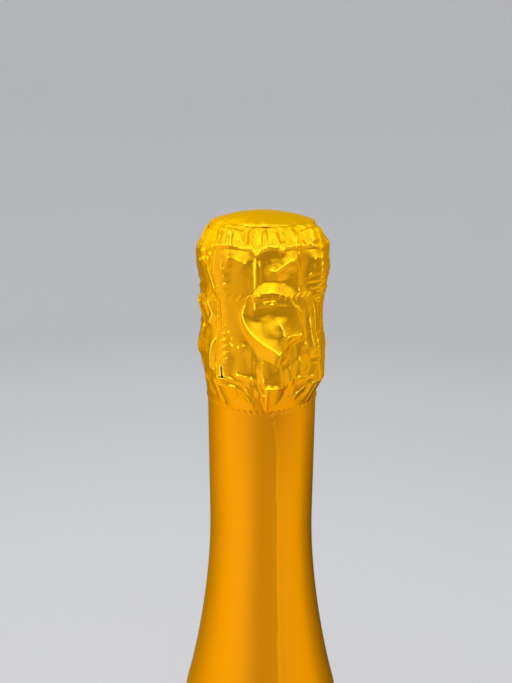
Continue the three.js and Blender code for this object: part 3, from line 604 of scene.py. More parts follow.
def side_folds():
    """Folds of the same kinds for the sides and the back, which the front's folds leave plain."""
    rng = np.random.default_rng(11)
    folds = []
    rims = np.arange(63, 302, 11.5)
    rims = rims + rng.uniform(-3, 3, len(rims))
    for place in rims:
        lean = rng.uniform(-4, 4)
        depth = rng.uniform(0.3, 0.55)
        folds.append(leaning_fold(CREASE, depth, 0.5, place, lean, (328.1, 325.8, 323.3)))
        if rng.random() < 0.6:
            beside = place + rng.choice([-3.5, 3.5])
            folds.append(leaning_fold(CREST, 0.35, 0.5, beside, lean, (328, 325.8, 323.6)))
    for left, right in zip(rims, rims[1:]):
        dip = rng.uniform(321.9, 323.2)
        folds.append((CREST, 0.35, 0.6, (left, 323.4), (0.5 * (left + right), dip), (right, 323.5)))
    for sector in (55, 145, 235):
        for foot, top, count, length in ((313.5, 321.5, 4, 22), (292, 310, 8, 20)):
            for _ in range(count):
                start = sector + rng.uniform(8, 60)
                level = rng.uniform(foot, top)
                run = rng.uniform(0.5, 1) * length
                rise = rng.uniform(-0.35, 0.35) * (top - foot)
                kind = CREST if rng.random() < 0.6 else CREASE
                bend = rng.uniform(-1.5, 1.5)
                heights = level, level + 0.5 * rise + bend, level + rise
                depth, width = rng.uniform(0.2, 0.4), rng.uniform(0.5, 0.9)
                folds.append(leaning_fold(kind, depth, width, start, run, heights))
        for _ in range(3):
            place = sector + rng.uniform(12, 78)
            lean = rng.uniform(-7, 7)
            foot = rng.uniform(293, 303)
            folds.append(leaning_fold(CREST, 0.3, 0.6, place, lean, (foot + 15, foot + 8, foot)))
    for place in np.arange(60, 305, 8.5):
        place = place + rng.uniform(-2.5, 2.5)
        lean = rng.uniform(-9, 9)
        top = rng.uniform(288.5, 292.5)
        kind = CREST if rng.random() < 0.6 else CREASE
        heights = top, 0.5 * (top + 283.5), 283.2
        folds.append(leaning_fold(kind, rng.uniform(0.25, 0.45), 0.5, place, lean, heights))
    return folds


def along_line(points, azimuth, height):
    """Distance to a line of azimuths and heights, positive on its right, and the share along it."""
    line = np.array(points, float)
    u = turn_between(azimuth, line[0, 0]) * FOIL_ARC
    line_u = turn_between(line[:, 0], line[0, 0]) * FOIL_ARC
    corners = np.stack([line_u, line[:, 1]], -1)
    lengths = np.hypot(np.diff(line_u), np.diff(line[:, 1]))
    before = np.concatenate([[0], np.cumsum(lengths)])
    best = np.full(u.shape, np.inf)
    side = np.ones(u.shape)
    share = np.zeros(u.shape)
    for start, end, passed in zip(corners, corners[1:], before):
        distance, along, (du, dv) = nearest_on(start, end, u, height)
        nearer = distance < best
        best = np.where(nearer, distance, best)
        side = np.where(nearer, np.sign((u - start[0]) * dv - (height - start[1]) * du), side)
        share = np.where(nearer, (passed + along) / before[-1], share)
    return best, side, share


def fold_height(fold, azimuth, height):
    """How far one fold lifts the foil."""
    kind, size, width, *points = fold
    distance, _, share = along_line(points, azimuth, height)
    fade = np.clip(np.minimum(share, 1 - share) / 0.22 + 0.12, 0, 1)
    if kind == ROLL:
        shape = np.exp(-((distance / width) ** 2))
    else:
        sharp = np.exp(-np.sqrt((distance / width) ** 2 + 0.01))
        shape = 0.6 * sharp + 0.4 * np.exp(-((distance / (2.6 * width)) ** 2))
    return (-CREASE_GAIN if kind == CREASE else CREST_GAIN) * size * fade * shape


def noise_cells(u, v, cell, seed):
    """Random values from -1 to 1 at the corners of points' cells, and the places in the cells."""
    table = np.random.default_rng(seed).uniform(-1, 1, 4096)
    count = max(3, round(FOIL_ROUND / cell))
    x, y = u / FOIL_ROUND * count, v / cell
    i, j = np.floor(x).astype(int), np.floor(y).astype(int)

    def corner(a, b):
        """The value at a corner of the cells."""
        return table[((a % count) * 131 + b * 197 + seed * 17) % 4096]

    return corner(i, j), corner(i + 1, j), corner(i, j + 1), corner(i + 1, j + 1), x - i, y - j


def crumple(u, v, cell, seed):
    """Faceted noise from -1 to 1: flat triangles between random corners, closed round the axis."""
    here, right, up, far, fx, fy = noise_cells(u, v, cell, seed)
    under = here * (1 - fx) + right * (fx - fy) + far * fy
    over = here * (1 - fy) + up * (fy - fx) + far * fx
    return np.where(fx > fy, under, over)


def sway(u, v, cell, seed):
    """Soft noise from -1 to 1, closed round the axis."""
    here, right, up, far, fx, fy = noise_cells(u, v, cell, seed)
    sx, sy = ease(fx, 0, 1), ease(fy, 0, 1)
    return (here * (1 - sx) + right * sx) * (1 - sy) + (up * (1 - sx) + far * sx) * sy


def dashes(azimuth, height, tear, slope):
    """Raised lips of a row of slanted perforations, from 0 to 1."""
    pitch = FOIL_ROUND / round(FOIL_ROUND / PERFORATION_PITCH)
    shift = azimuth * FOIL_ARC - slope * (height - tear)
    distance = ((shift / pitch + 0.5) % 1 - 0.5) * pitch
    window = 1 - ease(np.abs(height - tear), DASH_HEIGHT - DASH_EDGE, DASH_HEIGHT + DASH_EDGE)
    return np.exp(-((distance / DASH_WIDTH) ** 2)) * window


def in_loop(loop, u, v):
    """Whether points lie inside a closed line."""
    inside = np.zeros(u.shape, bool)
    for (au, av), (bu, bv) in zip(loop, np.roll(loop, -1, axis=0)):
        crosses = (av > v) != (bv > v)
        if av != bv:
            inside ^= crosses & (u < au + (v - av) * (bu - au) / (bv - av))
    return inside


guide = leg_guide()
key_line = key_loop(60)
all_folds = FOLDS + side_folds()


def leg_radius(height):
    """The radius of the line that the strands wind round, at heights."""
    return np.interp(height, guide[::-1, 1], guide[::-1, 0])


def leg_angle(height):
    """How far a leg's strands are wound at heights, in radians."""
    wound = np.interp(height, guide[::-1, 1], np.linspace(1, 0, len(guide)))
    return 2 * math.pi * LEG_TURNS * np.maximum(wound - PLAIN_SHARE, 0) / (1 - PLAIN_SHARE)


def over_legs(azimuth, height):
    """The radius of the foil stretched over the twisted legs and their eyes."""
    angle = leg_angle(height)
    printed = 0.15 + 0.85 * np.exp(-((height - RIB_HEIGHT) / RIB_REACH) ** 2)
    beyond = np.maximum(FOOT_TOP - height, 0)
    top = np.full(np.shape(azimuth), -np.inf)
    for leg in LEG_AZIMUTHS:
        across = turn_between(azimuth, leg) * LEG_ARC
        inward = across if leg in (LEG_AZIMUTHS[0], LEG_AZIMUTHS[3]) else -across
        worn = printed * (0.2 + 0.8 * ease(inward, -0.9, 0.5))
        notch = NOTCH * worn * (0.5 + 0.5 * np.cos(2 * (angle + 0.5 * across)))
        crown = leg_radius(height) + TWIST_RADIUS + COVER - notch
        near, far = np.maximum(inward - 1.6, 0), np.maximum(-inward - 0.9, 0)
        flank = LEG_FLANK * (0.12 * near + 1.5 * far) + 0.06 * (inward - 0.3) ** 2
        top = np.maximum(top, crown - flank - FOOT_SLOPE * beyond)
    return top


def over_belt(azimuth, height):
    """The radius of the foil over the belt, which swings out at the legs."""
    crest = belt_radius(azimuth) + BELT_WIRE + COVER
    return crest - 0.9 * np.maximum(np.abs(height - BELT_HEIGHT) - 0.4, 0)


def over_key(azimuth, height):
    """The radius of the foil over the key: a drop-shaped plateau with a sharp edge, and the stem."""
    outline = spline(KEY_PRINT + KEY_PRINT[:1], 70)[:-1]
    outline[:, 0] = turn_between(outline[:, 0], KEY_AZIMUTH) * LEG_ARC
    u = turn_between(azimuth, KEY_AZIMUTH) * LEG_ARC
    distance = np.full(u.shape, np.inf)
    edge_u, edge_level = np.zeros(u.shape), np.zeros(u.shape)
    for start, end in zip(outline, np.roll(outline, -1, axis=0)):
        here, along, (du, dv) = nearest_on(start, end, u, height)
        edge_u = np.where(here < distance, start[0] + along * du, edge_u)
        edge_level = np.where(here < distance, start[1] + along * dv, edge_level)
        distance = np.minimum(distance, here)

    def pouch(side, level):
        """How far the print leans out towards its lower left tip."""
        drop = np.maximum(PRINT_WAIST - level, 0)
        return PRINT_LEAN * drop ** 2 / (drop + 4.0) * (1 - ease(side, 0.2, 4.4))

    crest = LEG_RING_RADIUS + WIRE + COVER
    inside = in_loop(outline, u, height)
    outer = crest + pouch(edge_u, edge_level) - PRINT_FLANK * distance
    dish = PRINT_DISH * ease(distance, 0, 3.2) * (1 - ease(PRINT_WAIST - height, -1, 5))
    inner = crest + pouch(u, height) - dish
    reach = np.hypot(u, np.maximum(height - KEY_STEM_TOP, 0))
    stem = LEG_RING_RADIUS + TWIST_RADIUS + COVER - 0.16 * np.maximum(reach - 0.6, 0) ** 2
    stem = stem - FOOT_SLOPE * np.maximum(FOOT_TOP - height, 0)
    return np.maximum(np.where(inside, inner, outer), stem)


def stretched(azimuth, height, rest):
    """How far the foil is drawn out where it is stretched between the key and the legs beside it."""
    turn = turn_between(azimuth, KEY_AZIMUTH)

    def drawn(starts, ends, stops):
        """How strongly a panel is stretched, from 0 to 1."""
        return ease(turn, *starts) * (1 - ease(turn, *ends)) * (1 - ease(height, *stops))

    others = np.maximum(drawn(*RIGHT_PANEL), drawn(*UNDER_PANEL)) * (TAUT_RADIUS - rest)
    swollen = TAUT_RADIUS + LEFT_SWELL * (1 - ease(turn, -44, -12)) * ease(height, 304, 312)
    ramp = np.clip((height - STRETCH_FOOT) / STRETCH_RISE, 0, 1)
    return ramp * np.maximum(drawn(*LEFT_PANEL) * (swollen - rest), others)


def side_draw(azimuth, height):
    """How far the two sides are drawn in, by height."""
    drawn = 0
    for place, draw in ((-SIDE_AZIMUTH, LEFT_DRAW), (SIDE_AZIMUTH, RIGHT_DRAW)):
        near = 1 - ease(np.abs(turn_between(azimuth, place)), *SIDE_FADE)
        drawn = drawn + np.interp(height, *np.array(draw).T) * near
    return drawn


def lip(azimuth, height):
    """How far the pockets' lip hangs out, and how far the foil under it draws in."""
    above = height - np.interp(azimuth, LIP[:, 0], LIP[:, 1])
    offset = np.interp(above, *np.array(LIP_PROFILE).T)
    drawn_in = np.where(offset < 0, 0.3 + 0.7 * ease(azimuth, -10, -2), 1)
    return offset * drawn_in * ease(azimuth, -46, -40) * (1 - ease(azimuth, 42, 50))


def bare_wires(azimuth, height):
    """The radius that keeps the foil just clear of the cage's wires."""
    below = np.maximum(BELT_HEIGHT - height, 0)
    reach = np.hypot(from_nearest_leg(azimuth) * LEG_ARC, below)
    turned_out = np.maximum(np.abs(np.sin(leg_angle(height))), ease(below, -4, -2))
    outermost = WIRE + STRAND_OFFSET * turned_out
    legs = leg_radius(height) + outermost - CLEAR_SLOPE * np.maximum(reach - TWIST_RADIUS, 0)
    off_belt = np.maximum(np.abs(height - BELT_HEIGHT) - BELT_WIRE, 0)
    belt = belt_radius(azimuth) + BELT_WIRE - CLEAR_SLOPE * off_belt
    u = turn_between(azimuth, KEY_AZIMUTH) * LEG_ARC
    near_key = np.full(u.shape, np.inf)
    for side, level in key_line:
        near_key = np.minimum(near_key, np.hypot(u - side, height - level))
    loop = LEG_RING_RADIUS + WIRE - CLEAR_SLOPE * np.maximum(near_key - WIRE, 0)
    beyond = np.maximum(height - KEY_STEM_TOP, 0) + below
    off_stem = np.maximum(np.hypot(u, beyond) - TWIST_RADIUS, 0)
    stem = LEG_RING_RADIUS + TWIST_RADIUS - CLEAR_SLOPE * off_stem
    return np.max([legs, belt, loop, stem], axis=0) + CLEARANCE


def foil_lift(azimuth, height, rest):
    """How far the foil stands off its resting outline at azimuths and heights."""
    drawn = stretched(azimuth, height, rest)
    wires = np.max([over(azimuth, height) for over in (over_legs, over_key, over_belt)], axis=0)
    proud = wires - rest - drawn
    lift = drawn + 0.5 * (proud + np.sqrt(proud ** 2 + 0.08))
    lift = lift * ease(height, LOWER_TEAR + 0.1, LOWER_TEAR + 1.3)
    folds = sum(fold_height(fold, azimuth, height) for fold in all_folds)
    folds = folds + lip(azimuth, height) + side_draw(azimuth, height)
    u = azimuth * FOIL_ARC
    warp = 1.3 * np.sin(np.radians(5 * azimuth) + 0.6 * height)
    warp = warp + 0.9 * np.sin(np.radians(11 * azimuth) - 0.35 * height)
    front = 1 - ease(np.abs(turn_between(azimuth, 5)), 45, 75)
    sharp = (FACETS - FACETS_CALM * front) * crumple(u + warp, height + 0.6 * warp, FACET_CELL, 3)
    soft = SWAY * front * sway(1.4 * u + 0.5 * warp, 0.8 * height, SWAY_CELL, 5)
    fine = RIPPLE * sway(u + 0.6 * warp, height - warp, RIPPLE_CELL, 8)
    settle = ease(height, LOWER_TEAR + 0.3, LOWER_TEAR + 5.0)
    wild = (folds + sharp + soft + fine) * settle + 0.25 * folds * (1 - settle)
    perforated = dashes(azimuth, height, UPPER_TEAR, UPPER_SLANT)
    perforated = perforated + dashes(azimuth, height, LOWER_TEAR, LOWER_SLANT)
    clear = bare_wires(azimuth, height) - rest
    return np.maximum(np.maximum(lift + wild, clear), DEEPEST) + DASH_RISE * perforated


def band_lift(azimuth, height, radius):
    """The band's lift, with the hollows under overhangs spanned as taut foil spans them."""
    outer = radius + foil_lift(azimuth, height, radius)
    for row in range(len(outer) - 2, -1, -1):
        spanned = outer[row + 1] - DRAPE * (height[row + 1] - height[row])
        outer[row] = np.maximum(outer[row], spanned)
    return outer - radius


def tear(azimuth, height):
    """Where the band is torn over the foot of the leg beside the key, so that its wire shows."""
    width = np.interp(height, SLIT_HEIGHTS, SLIT_WIDTHS, left=0, right=0)
    upright = np.abs(turn_between(azimuth, SLIT_AZIMUTH)) < 0.5 * width
    beside = np.abs(turn_between(azimuth, NICK_AZIMUTH)) < 0.5 * NICK_WIDTH
    return upright | (beside & (np.abs(height - NICK_HEIGHT) < 0.5 * NICK_OPENING))


def foil_piece(name, profile, body, node, material, columns, lift, torn=None):
    """A thin foil shell round the axis; lift moves it off its profile along the profile's normal."""
    along = np.gradient(profile, axis=0)
    along[profile[:, 1] < PLUMB_TOP] = (0, 1)
    along /= np.linalg.norm(along, axis=1)[:, None]
    azimuths = np.arange(columns) * 360.0 / columns - 180.0
    azimuth, radius = np.meshgrid(azimuths, profile[:, 0])
    height = np.repeat(profile[:, 1:], columns, axis=1)
    offset = lift(azimuth, height, radius)
    points = at(radius + offset * along[:, 1:], azimuth, height - offset * along[:, :1])
    faces = grid_faces(len(profile), columns)
    if torn:
        gone = torn(azimuth, height)[:-1].ravel()
        faces = [face for face, missing in zip(faces, gone) if not missing]
    piece = add_piece(name, points.reshape(-1, 3), faces, body, node, material)
    rows = np.array([edge.vertices[:] for edge in piece.data.edges]) // columns
    rim = (rows[:, 0] == rows[:, 1]) & ((rows[:, 0] == 0) | (rows[:, 0] == len(profile) - 1))
    piece.data.edges.foreach_set("use_edge_sharp", rim)
    shell = piece.modifiers.new("Foil", "SOLIDIFY")
    shell.thickness = FOIL * MM
    shell.offset = -1
    return piece


def smooth_profile(corners, step):
    """A curve through corners of radius and height, stepped evenly."""
    rough = np.linalg.norm(np.diff(corners, axis=0), axis=1).sum()
    return spline(corners, max(3, round(rough / step)))


# Materials

def node_group(name, inputs, outputs):
    """An empty shader node group and its two end nodes."""
    group = bpy.data.node_groups.new(name, "ShaderNodeTree")
    for label, kind, value in inputs:
        socket = group.interface.new_socket(label, in_out="INPUT", socket_type=kind)
        socket.default_value = value
    for label, kind in outputs:
        group.interface.new_socket(label, in_out="OUTPUT", socket_type=kind)
    return group, group.nodes.new("NodeGroupInput"), group.nodes.new("NodeGroupOutput")


def feed(tree, socket, value):
    """Gives a node's input another node's output or a plain value."""
    if isinstance(value, bpy.types.NodeSocket):
        tree.links.new(value, socket)
    else:
        socket.default_value = value


def add_node(tree, kind, inputs=(), **settings):
    """The outputs of a new node, with its settings made and its inputs fed."""
    made = tree.nodes.new("ShaderNode" + kind)
    for label, value in settings.items():
        setattr(made, label, value)
    for label, value in dict(inputs).items():
        feed(tree, made.inputs[label], value)
    return made.outputs


def noise(tree, place, scale, detail, rough=0.5):
    """Cloudy values round a half."""
    inputs = {"Vector": place, "Scale": scale, "Detail": detail, "Roughness": rough}
    return add_node(tree, "TexNoise", inputs)["Fac"]


def spread(tree, value, start, end, low_value, high_value):
    """Maps a value from start..end to low_value..high_value."""
    return add_node(tree, "MapRange", {
        "Value": value, "From Min": start, "From Max": end, "To Min": low_value, "To Max": high_value,
    })["Result"]


def mixed(tree, share, first, second):
    """A colour between two colours, each a socket or plain values."""
    made = tree.nodes.new("ShaderNodeMix")
    made.data_type = "RGBA"
    feed(tree, made.inputs["Factor"], share)
    colours = [socket for socket in made.inputs if socket.type == "RGBA"]
    for socket, colour in zip(colours, (first, second)):
        feed(tree, socket, colour)
    return next(socket for socket in made.outputs if socket.type == "RGBA")


def bumped(tree, value, strength, distance):
    """A normal that leans where the value rises."""
    return add_node(tree, "Bump", {"Height": value, "Strength": strength, "Distance": distance})["Normal"]


def worked(tree, operation, *values, kind="Math"):
    """What a Math or Vector Math node makes of sockets and plain values."""
    return add_node(tree, kind, enumerate(values), operation=operation)[0]


def foil_group():
    """Metallised foil: cloudy tone, deeper low down, crests with a painted highlight colour and shading
    normals leaned to the light, cloudy roughness and rolled grain.
    """
    colours = "Colour", "Worn colour", "Foot colour", "Crest highlight colour"
    group, start, end = node_group(
        "Metallised foil",
        [*((label, "NodeSocketColor", WHITE) for label in colours),
         ("Crest", "NodeSocketFloat", 0.0), ("Roughness", "NodeSocketFloat", 0.2)],
        [("Colour", "NodeSocketColor"), ("Roughness", "NodeSocketFloat"), ("Normal", "NodeSocketVector")],
    )
    given = start.outputs
    place = add_node(group, "TexCoord")["Object"]
    height = add_node(group, "SeparateXYZ", {"Vector": place})["Z"]
    cloud = spread(group, noise(group, place, 90, 3), 0.35, 0.7, 0, 0.6)
    tone = mixed(group, cloud, given["Colour"], given["Worn colour"])
    low_down = spread(group, height, FOOT_TONE[0] * MM, FOOT_TONE[1] * MM, 1, 0)
    deep = mixed(group, low_down, tone, given["Foot colour"])
    # Mask of the convex crests, which carry the painted highlight
    bend = spread(group, add_node(group, "NewGeometry")["Pointiness"], *CREST_BEND, 0, 1)
    tears = LOWER_TEAR, UPPER_TEAR
    hems = [worked(group, "COMPARE", height, tear_height * MM, HEM * MM) for tear_height in tears]
    off_hems = worked(group, "SUBTRACT", 1.0, worked(group, "ADD", *hems))
    crest = worked(group, "MULTIPLY", worked(group, "MULTIPLY", bend, off_hems), given["Crest"])
    haze = spread(group, noise(group, place, 240, 4), 0.3, 0.75, -0.03, 0.06)
    grain = bumped(group, noise(group, place, 1800, 3), 0.12, 0.0001)
    lean = add_node(group, "CombineXYZ", {"Z": worked(group, "MULTIPLY", crest, CREST_TILT)})["Vector"]
    leaning = worked(group, "ADD", grain, lean, kind="VectorMath")
    # Painted highlight: the crest mask blends the foil's colour towards the brighter crest highlight colour
    feed(group, end.inputs["Colour"], mixed(group, crest, deep, given["Crest highlight colour"]))
    feed(group, end.inputs["Roughness"], worked(group, "ADD", given["Roughness"], haze))
    feed(group, end.inputs["Normal"], worked(group, "NORMALIZE", leaning, kind="VectorMath"))
    return group


def cork_group():
    """Cork: granules or streaks, dark pores and a soft relief."""
    group, start, end = node_group(
        "Cork grain",
        [("Light", "NodeSocketColor", WHITE), ("Dark", "NodeSocketColor", BLACK),
         ("Scale", "NodeSocketFloat", 600.0), ("Stretch", "NodeSocketVector", (1, 1, 1))],
        [("Colour", "NodeSocketColor"), ("Normal", "NodeSocketVector")],
    )
    given = start.outputs
    plain = add_node(group, "TexCoord")["Object"]
    place = worked(group, "MULTIPLY", plain, given["Stretch"], kind="VectorMath")
    pattern = {"Vector": place, "Scale": given["Scale"]}
    cells = add_node(group, "TexVoronoi", pattern)["Color"]
    edge = add_node(group, "TexVoronoi", pattern, feature="DISTANCE_TO_EDGE")["Distance"]
    shade = spread(group, add_node(group, "SeparateColor", {"Color": cells})["Red"], 0, 1, 0, 0.55)
    granule = mixed(group, shade, given["Light"], given["Dark"])
    pores = spread(group, noise(group, place, 900, 4, 0.6), 0.58, 0.72, 0, 0.8)
    pitted = mixed(group, pores, granule, given["Dark"])
    gaps = spread(group, edge, 0, 0.08, 0.75, 0)
    feed(group, end.inputs["Colour"], mixed(group, gaps, pitted, given["Dark"]))
    relief = spread(group, edge, 0, 0.15, 0, 1)
    feed(group, end.inputs["Normal"], bumped(group, relief, 0.5, 0.0003))
    return group


def wire_group():
    """Drawn steel wire: fine scuffs and a little tarnish."""
    group, start, end = node_group(
        "Drawn wire", [("Colour", "NodeSocketColor", WHITE)],
        [("Colour", "NodeSocketColor"), ("Roughness", "NodeSocketFloat")],
    )
    place = add_node(group, "TexCoord")["Object"]
    tarnish = spread(group, noise(group, place, 500, 4), 0.45, 0.75, 0, 0.5)
    scuffs = spread(group, noise(group, place, 2500, 3), 0.3, 0.7, 0.22, 0.4)
    feed(group, end.inputs["Colour"], mixed(group, tarnish, start.outputs["Colour"], TARNISH))
    feed(group, end.inputs["Roughness"], scuffs)
    return group


def material(name, group=None, settings=(), **constants):
    """A Principled material; settings fill a group that feeds it, constants the shader's own sockets."""
    made = bpy.data.materials.new(name)
    made.use_nodes = True
    tree = made.node_tree
    shader = tree.nodes["Principled BSDF"]
    own = {label.replace("_", " ").title(): value for label, value in constants.items()}
    for label, value in own.items():
        shader.inputs[label].default_value = value
    varied = add_node(tree, "Group", settings, node_tree=group) if group else {}
    for output, label in (("Colour", "Base Color"), ("Roughness", "Roughness"), ("Normal", "Normal")):
        if output in varied and label not in own:
            tree.links.new(varied[output], shader.inputs[label])
    return made


WHITE = (1, 1, 1, 1)
BLACK = (0, 0, 0, 1)
GOLD_NECK = (0.93, 0.34, 0.004, 1)
# Colour of the painted highlight on the foil's crests
GOLD_CREST_HIGHLIGHT = (1.0, 0.55, 0.015, 1)
TARNISH = (0.3, 0.29, 0.27, 1)
GOLD = {"metallic": 1.0, "specular_tint": (1.0, 0.78, 0.1, 1)}

foil_look = foil_group()
cork_look = cork_group()
wire_look = wire_group()

gold_foil = material("gold foil", foil_look, {
    "Colour": (0.95, 0.42, 0.006, 1), "Worn colour": (0.9, 0.38, 0.004, 1), "Foot colour": GOLD_NECK,
    "Crest highlight colour": GOLD_CREST_HIGHLIGHT, "Crest": 1.0, "Roughness": 0.14,
}, **GOLD)
gold_top = material("gold foil, top", foil_look, {
    "Colour": (0.96, 0.43, 0.01, 1), "Worn colour": (0.92, 0.4, 0.008, 1), "Roughness": 0.22,
}, **GOLD)
gold_skirt = material("gold foil, smooth", foil_look, {"Roughness": 0.2}, base_color=GOLD_NECK, **GOLD)
gold_glass = material("gold coated glass", foil_look, {"Roughness": 0.14}, base_color=GOLD_NECK, **GOLD)
cap_tin = material("lacquered tinplate", foil_look, {
    "Colour": (0.72, 0.42, 0.08, 1), "Worn colour": (0.62, 0.34, 0.06, 1), "Roughness": 0.28,
}, metallic=1.0)
agglomerate = material("agglomerated cork", cork_look, {
    "Light": (0.53, 0.33, 0.16, 1), "Dark": (0.16, 0.075, 0.03, 1), "Scale": 620.0,
}, roughness=0.9)
natural_cork = material("natural cork", cork_look, {
    "Light": (0.56, 0.36, 0.18, 1), "Dark": (0.2, 0.1, 0.04, 1), "Scale": 260.0, "Stretch": (1, 2.6, 0.4),
}, roughness=0.9)
steel_wire = material("drawn steel wire", wire_look, {"Colour": (0.7, 0.65, 0.62, 1)}, metallic=1.0)


# Glass bottle

def shoulder(inset):
    """The shoulder's swelling lower curve and hollow upper curve, from the body to the neck."""
    turn = np.array([30.0 - inset, 162.0])
    downhill = np.array([0.6, -1.0]) / math.hypot(0.6, 1.0)
    body_top = 122.0
    lower_run = 0.4 * (turn[1] - body_top)
    upper_run = 0.36 * (NECK_FOOT - turn[1])
    body, neck = BODY_RADIUS - inset, NECK_RADIUS - inset
    swell = bezier(
        (body, body_top), (body, body_top + lower_run), turn + 0.9 * lower_run * downhill, turn, steps=24,
    )
    hollow = bezier(
        turn, turn - 0.4 * upper_run * downhill, (neck, NECK_FOOT - upper_run), (neck, NECK_FOOT), steps=32,
    )
    return np.concatenate([swell, hollow[1:]])


def glass_outline():
    """The glass from the punt up the outside and down the inside, as radius and height."""
    heel, base, punt = 7.0, 8.0, 32.0
    stand = BODY_RADIUS - heel
    inner_stand = stand - 5.0
    groove = 13.3
    ring_curve = RING_RADIUS - groove
    lip_foot, lip_radius, lip_round, mouth = GLASS_TOP - 5.5, 14.3, 1.65, 1.5
    bore_foot = GLASS_TOP - 32.0
    inner_neck = NECK_RADIUS - WALL
    return joined(
        bezier((0, punt), (9, punt), (0.6 * inner_stand, 0.8 * punt), (inner_stand, 0.4), steps=24),
        [(inner_stand + 0.6, 0.0), (stand, 0.0)],
        arc((stand, heel), heel, -80, 0),
        [(BODY_RADIUS, heel + 0.6), (BODY_RADIUS, heel + 2.0), (BODY_RADIUS, 60.0)],
        shoulder(0),
        [(NECK_RADIUS, 262.0), (NECK_RADIUS, RING_FOOT - 0.4), (NECK_RADIUS + 0.4, RING_FOOT)],
        [(RING_FOOT_RADIUS - 0.4, RING_FOOT), (RING_FOOT_RADIUS, RING_FOOT + 0.4)],
        arc((groove, RING_TOP - ring_curve), ring_curve, 0, 86),
        [(groove, RING_TOP + 0.2), (groove, lip_foot - 0.5)],
        [(lip_radius - 0.3, lip_foot), (lip_radius, lip_foot + 0.5)],
        arc((lip_radius - lip_round, GLASS_TOP - lip_round), lip_round, 0, 90),
        arc((BORE_RADIUS + mouth, GLASS_TOP - mouth), mouth, 90, 180),
        [(BORE_RADIUS, bore_foot), (inner_neck, bore_foot - 30.0)],
        shoulder(WALL)[::-1],
        bezier((BODY_RADIUS - WALL, heel + base), (BODY_RADIUS - WALL, base), (stand - WALL, base)),
        bezier(
            (stand - WALL, base), (0.7 * inner_stand, base), (9, punt + base), (0, punt + base), steps=24,
        )[1:],
    )


add_piece("visual_glass_bottle", *revolve(glass_outline()), "bottle", "glass_bottle", gold_glass)


# Cork

def cork_outline():
    """The cork's shank, mushroom head and domed top."""
    head_foot = (0.96 * HEAD_RADIUS, GLASS_TOP + 3.9)
    head_side = (HEAD_RADIUS, GLASS_TOP + 9.0)
    underside = GLASS_TOP + 0.3
    dome = CORK_TOP + 1.8
    return joined(
        [(0.0, SHANK_FOOT), (SHANK_RADIUS - 0.15, SHANK_FOOT), (SHANK_RADIUS, SHANK_FOOT + 0.15)],
        bezier((SHANK_RADIUS, GLASS_TOP - 0.3), (SHANK_RADIUS, underside + 0.6),
               (0.88 * head_foot[0], underside), head_foot),
        bezier(head_foot, (HEAD_RADIUS, head_foot[1] + 1.5), head_side)[1:],
        bezier(head_side, (HEAD_RADIUS, CORK_TOP - 2.55), (0.94 * HEAD_RADIUS, CORK_TOP - 0.6),
               (0.84 * HEAD_RADIUS, CORK_TOP - 0.3))[1:],
        bezier((0.9 * TOP_RING_RADIUS, CORK_TOP), (0.5 * TOP_RING_RADIUS, dome), (0.0, dome)),
    )


def cork_disc(foot, top):
    """A disc with a worn lower edge."""
    edge, arris = 0.4, 0.1
    return [
        (0.0, foot), (SHANK_RADIUS - edge, foot), (SHANK_RADIUS - arris, foot + arris),
        (SHANK_RADIUS, foot + edge), (SHANK_RADIUS, top - arris), (SHANK_RADIUS - arris, top), (0.0, top),
    ]


add_piece("visual_cork_body", *revolve(cork_outline(), SMALL_LATHE), "cork", "cork_body", agglomerate)
for disc in ("cork_disc_upper", "cork_disc_lower"):
    outline = cork_disc(low(disc), high(disc))
    add_piece("visual_" + disc, *revolve(outline, SMALL_LATHE), "cork", disc, natural_cork)


# Cage

def cap_outline():
    """The cap's dome, groove and rim, and its underside."""
    inner, outer = TOP_RING_RADIUS - WIRE - 0.3, TOP_RING_RADIUS + WIRE + 0.3
    foot = inner - 1.2
    dome_foot = (foot, CAP_SEAT + 2.37)
    top = bezier((0, CAP_APEX), (0.4 * foot, CAP_APEX), (0.65 * foot, CAP_SEAT + 4.08), dome_foot)
    under = np.stack([0.97 * top[:, 0], top[:, 1] - 0.5], -1)[::-1]
    return joined(
        top,
        bezier(dome_foot, (inner - 0.3, CAP_GROOVE + 0.2), (inner, CAP_GROOVE))[1:],
        [(TOP_RING_RADIUS, CAP_GROOVE - 0.02), (outer, CAP_GROOVE)],
        arc((CAP_RADIUS - 0.4, CAP_GROOVE - 0.1), 0.4, 90, 0, 5),
        [(CAP_RADIUS, CAP_SEAT), (inner - 0.5, CAP_SEAT)],
        under,
    )


add_piece("visual_cage_cap", *revolve(cap_outline(), SMALL_LATHE), "cage", "cage_cap", cap_tin)
add_piece("visual_cage_wire", *tube(cage_wire_path(), WIRE), "cage", "cage_wire", steel_wire)
add_piece("visual_cage_belt", *tube(belt_path(), BELT_WIRE), "cage", "cage_belt", steel_wire)
add_piece("visual_cage_key", *tube(key_path(), WIRE), "key", "cage_key", steel_wire)


# Foil capsule

def disc_lift(azimuth, height, radius):
    """The top disc's shallow dents, strongest near its edge."""
    u = azimuth * FOIL_ARC
    edge = ease(radius, 8, 13)
    dent = DENT * sway(u + 0.4 * radius, 2.2 * radius, DENT_CELL, 21)
    gather = 0.06 * np.sin(np.radians(17 * azimuth) + 1) + 0.05 * np.sin(np.radians(29 * azimuth))
    return dent * (0.25 + 0.75 * edge) * np.clip(radius / 4, 0, 1) + gather * edge


def hood_lift(azimuth, height, radius):
    """The hood's lift, which dies out under the top disc, over the legs' bends on the cap's rim."""
    lift = foil_lift(azimuth, height, radius)
    over_rim = ease(height, *RIM_TURN)
    offsets = from_nearest_leg(azimuth) * FOIL_ARC
    bend = np.maximum(LEG_BEND - 0.35 * np.maximum(offsets - 1, 0), 0) * (1 - ease(height, *BEND_END))
    flat = np.maximum(0.8 * np.clip(lift, -0.1, 0.6), bend) * (1 - ease(height, *RIM_END))
    return lift * (1 - over_rim) + flat * over_rim


